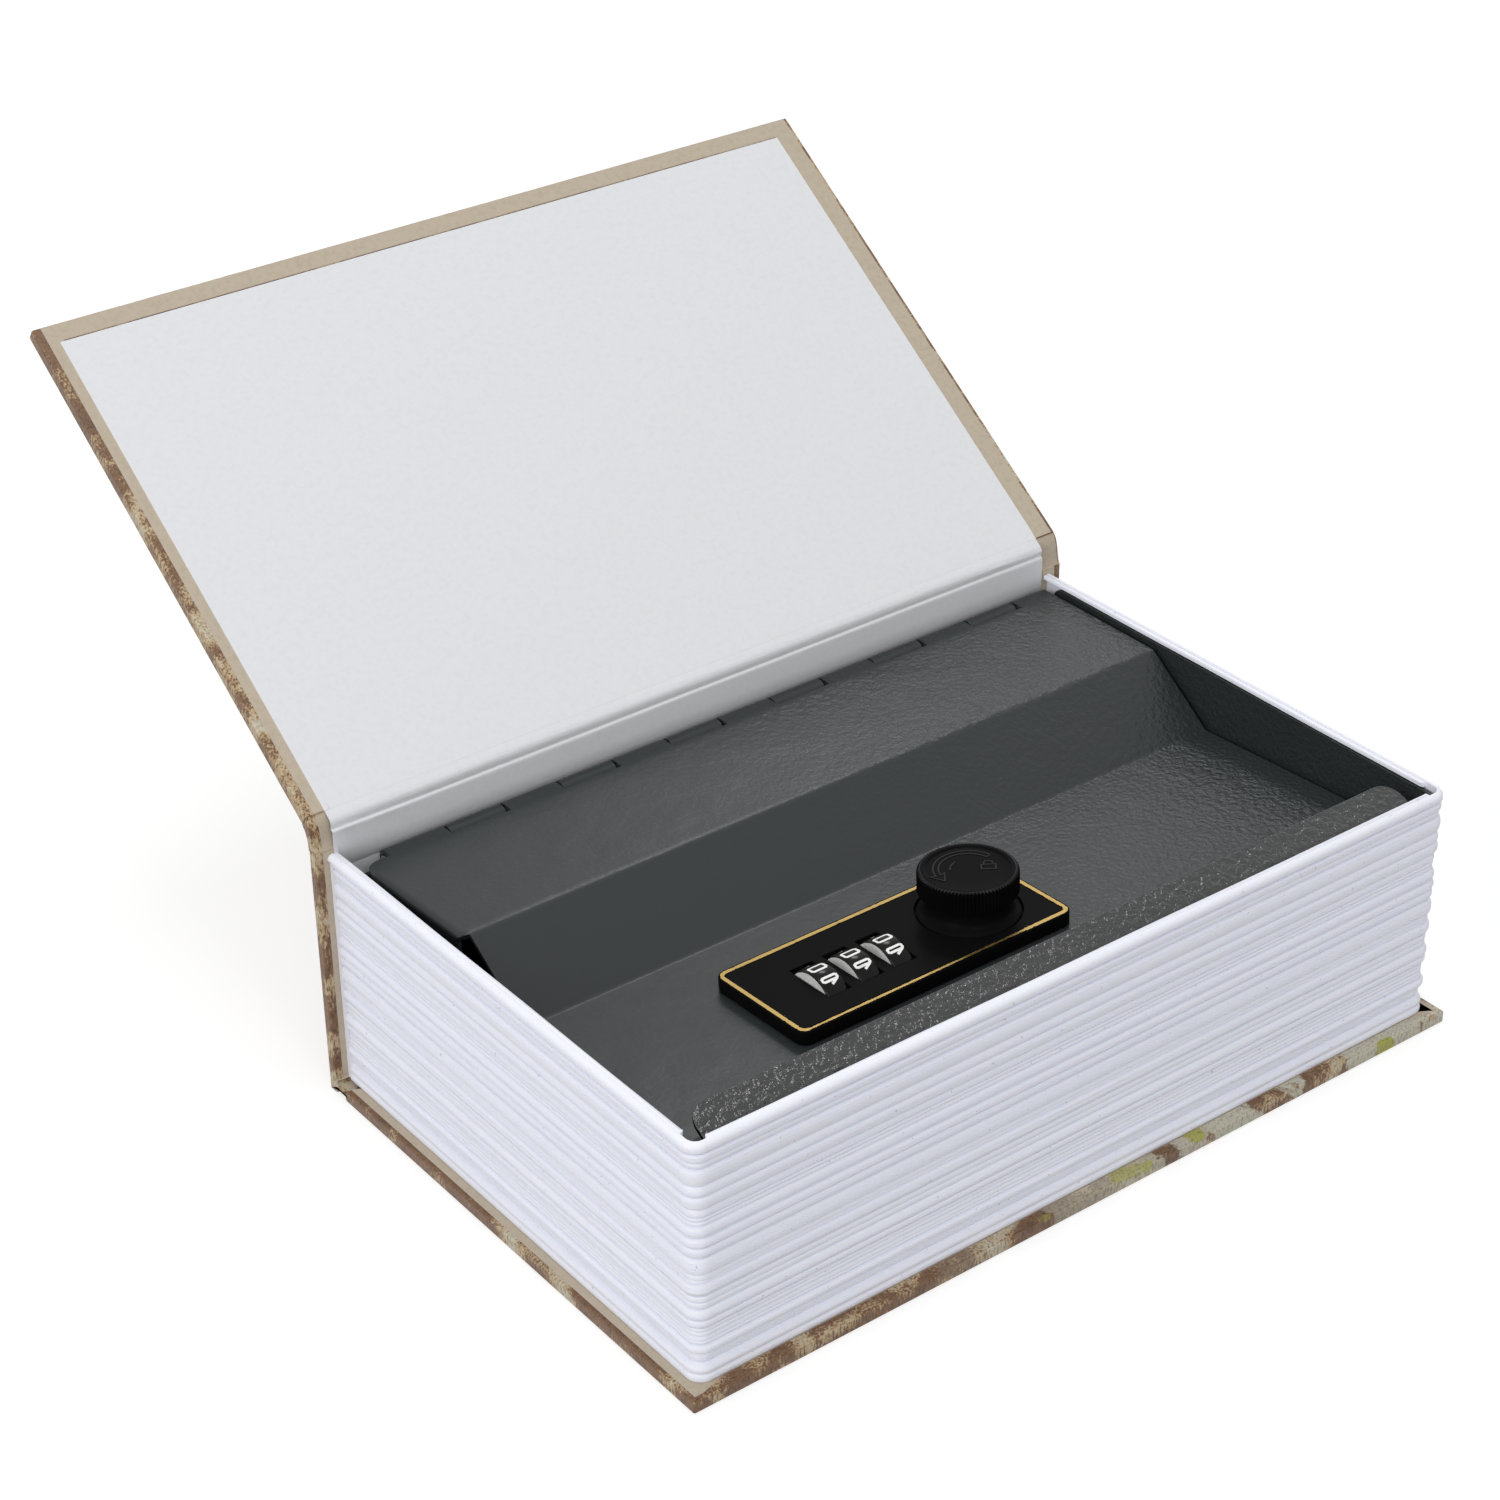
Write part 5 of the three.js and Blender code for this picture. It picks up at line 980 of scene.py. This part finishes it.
def build_stage(stage):
    """Pale floor, softboxes, white room and the camera."""
    scene = bpy.context.scene
    material, tree, shader, _ = start_material("pale_studio_floor", Base_Color=linear("#ACACAC"), Roughness=0.9,
                                               Emission_Color=(1, 1, 1, 1))
    glow = add_node(tree, "Math", {1: 0.68}, {0: seen_directly(tree)}, operation="MULTIPLY")
    tree.links.new(glow.outputs["Value"], shader.inputs["Emission Strength"])
    floor = bpy.data.objects.new("studio_floor", bpy.data.meshes.new("studio_floor"))
    floor.data.from_pydata([(-6, -6, 0), (6, -6, 0), (6, 6, 0), (-6, 6, 0)], [], [(0, 1, 2, 3)])
    floor.data.materials.append(material)
    scene.collection.objects.link(floor)

    scene.world = bpy.data.worlds.new("white_room")
    scene.world.use_nodes = True
    tree = scene.world.node_tree
    background = tree.nodes["Background"]
    background.inputs["Color"].default_value = (1, 1, 1, 1)
    strength = add_node(tree, "MapRange", {"To Min": stage.sky, "To Max": 1.0}, {"Value": seen_directly(tree)})
    tree.links.new(strength.outputs["Result"], background.inputs["Strength"])

    # Name, place and side in metres, and power
    for name, place, size, power in (("overhead_softbox", (0.0, 0.1, 1.6), 0.5, stage.key_power),
                                     ("left_fill", (-1.4, -0.3, 0.7), 0.9, stage.left_power),
                                     ("front_fill", (-0.5, -1.2, 1.2), 0.8, stage.front_power),
                                     ("rear_right_softbox", (0.67, 0.76, 1.04), 0.2, stage.rear_power)):
        lamp = bpy.data.lights.new(name, "AREA")
        lamp.shape = "SQUARE"
        lamp.size = size
        lamp.energy = power
        holder = bpy.data.objects.new(name, lamp)
        holder.location = place
        holder.rotation_euler = (Vector(AIM) - Vector(place)).to_track_quat("-Z", "Y").to_euler()
        scene.collection.objects.link(holder)

    # The camera of the photo, from the fit of its edges and corners
    azimuth, elevation, roll = (math.radians(angle) for angle in CAMERA_ANGLES)
    back = Vector((math.sin(azimuth) * math.cos(elevation), -math.cos(azimuth) * math.cos(elevation),
                   math.sin(elevation)))
    right = Vector((0, 0, 1)).cross(back).normalized()
    up = back.cross(right)
    right_rolled = right * math.cos(roll) + up * math.sin(roll)
    up_rolled = up * math.cos(roll) - right * math.sin(roll)
    camera = bpy.data.objects.new("photo_camera", bpy.data.cameras.new("photo_camera"))
    camera.data.sensor_width = 36
    camera.data.lens = stage.lens
    camera.data.clip_start = 0.01
    turn = Matrix((right_rolled, up_rolled, back)).transposed().to_4x4()
    camera.matrix_world = Matrix.Translation(CAMERA_PLACE) @ turn
    scene.collection.objects.link(camera)
    scene.camera = camera
    scene.view_settings.view_transform = "Standard"


def runs(build, *groups):
    """The execute method of an operator that builds its pieces from those groups of settings."""
    def execute(self, context):
        build(*(getattr(context.scene, group) for group in groups))
        return {"FINISHED"}

    return execute


class BOOKSAFE_OT_stage(bpy.types.Operator):
    """Adds the floor, the lamps, the white room and the camera."""

    bl_idname = "book_safe.stage"
    bl_label = "Studio stage"
    execute = runs(build_stage, "book_safe_stage")


class BOOKSAFE_OT_papers(bpy.types.Operator):
    """Adds the printed wraps, turn-ins, endpapers and the spine's lining."""

    bl_idname = "book_safe.papers"
    bl_label = "Book case papers"
    execute = runs(build_papers, "book_safe_papers")


class BOOKSAFE_OT_joints(bpy.types.Operator):
    """Adds the paper joints between the spine and the front cover."""

    bl_idname = "book_safe.joints"
    bl_label = "Paper joints"
    execute = runs(build_joints)


class BOOKSAFE_OT_page_block(bpy.types.Operator):
    """Adds the moulded page block."""

    bl_idname = "book_safe.page_block"
    bl_label = "Page block"
    execute = runs(build_page_block, "book_safe_block")


class BOOKSAFE_OT_steel(bpy.types.Operator):
    """Adds the powder-coated box and lid with their hinge pin and keeper."""

    bl_idname = "book_safe.steel"
    bl_label = "Steel box and lid"
    execute = runs(build_steel, "book_safe_steel")


class BOOKSAFE_OT_lock_case(bpy.types.Operator):
    """Adds the lock case, its gold line and the works inside it."""

    bl_idname = "book_safe.lock_case"
    bl_label = "Lock case"
    execute = runs(build_lock_case)


class BOOKSAFE_OT_wheels(bpy.types.Operator):
    """Adds the three number wheels with their digits."""

    bl_idname = "book_safe.wheels"
    bl_label = "Number wheels"
    execute = runs(build_wheels, "book_safe_lock")


class BOOKSAFE_OT_knob(bpy.types.Operator):
    """Adds the knurled knob."""

    bl_idname = "book_safe.knob"
    bl_label = "Knob"
    execute = runs(build_knob, "book_safe_lock")


OPERATORS = (BOOKSAFE_OT_stage, BOOKSAFE_OT_papers, BOOKSAFE_OT_joints, BOOKSAFE_OT_page_block, BOOKSAFE_OT_steel,
             BOOKSAFE_OT_lock_case, BOOKSAFE_OT_wheels, BOOKSAFE_OT_knob)
SETTINGS = (("book_safe_stage", BookSafeStage), ("book_safe_papers", BookSafePapers),
            ("book_safe_block", BookSafeBlock), ("book_safe_steel", BookSafeSteel), ("book_safe_lock", BookSafeLock))


class BOOKSAFE_PT_panel(bpy.types.Panel):
    """Lists the settings and the pieces."""

    bl_idname = "BOOKSAFE_PT_panel"
    bl_label = "Book safe"
    bl_space_type = "VIEW_3D"
    bl_region_type = "UI"
    bl_category = "Book safe"

    def draw(self, context):
        for name, group in SETTINGS:
            box = self.layout.box()
            for key in group.__annotations__:
                box.prop(getattr(context.scene, name), key)
        for operator in OPERATORS:
            self.layout.operator(operator.bl_idname)


def register():
    for name, group in SETTINGS:
        bpy.utils.register_class(group)
        setattr(bpy.types.Scene, name, PointerProperty(type=group))
    for operator in OPERATORS:
        bpy.utils.register_class(operator)
    bpy.utils.register_class(BOOKSAFE_PT_panel)


def unregister():
    bpy.utils.unregister_class(BOOKSAFE_PT_panel)
    for operator in reversed(OPERATORS):
        bpy.utils.unregister_class(operator)
    for name, group in reversed(SETTINGS):
        delattr(bpy.types.Scene, name)
        bpy.utils.unregister_class(group)


def main():
    register()
    bpy.ops.book_safe.stage()
    bpy.ops.book_safe.papers()
    bpy.ops.book_safe.joints()
    bpy.ops.book_safe.page_block()
    bpy.ops.book_safe.steel()
    bpy.ops.book_safe.lock_case()
    bpy.ops.book_safe.wheels()
    bpy.ops.book_safe.knob()


if __name__ == "__main__":
    main()
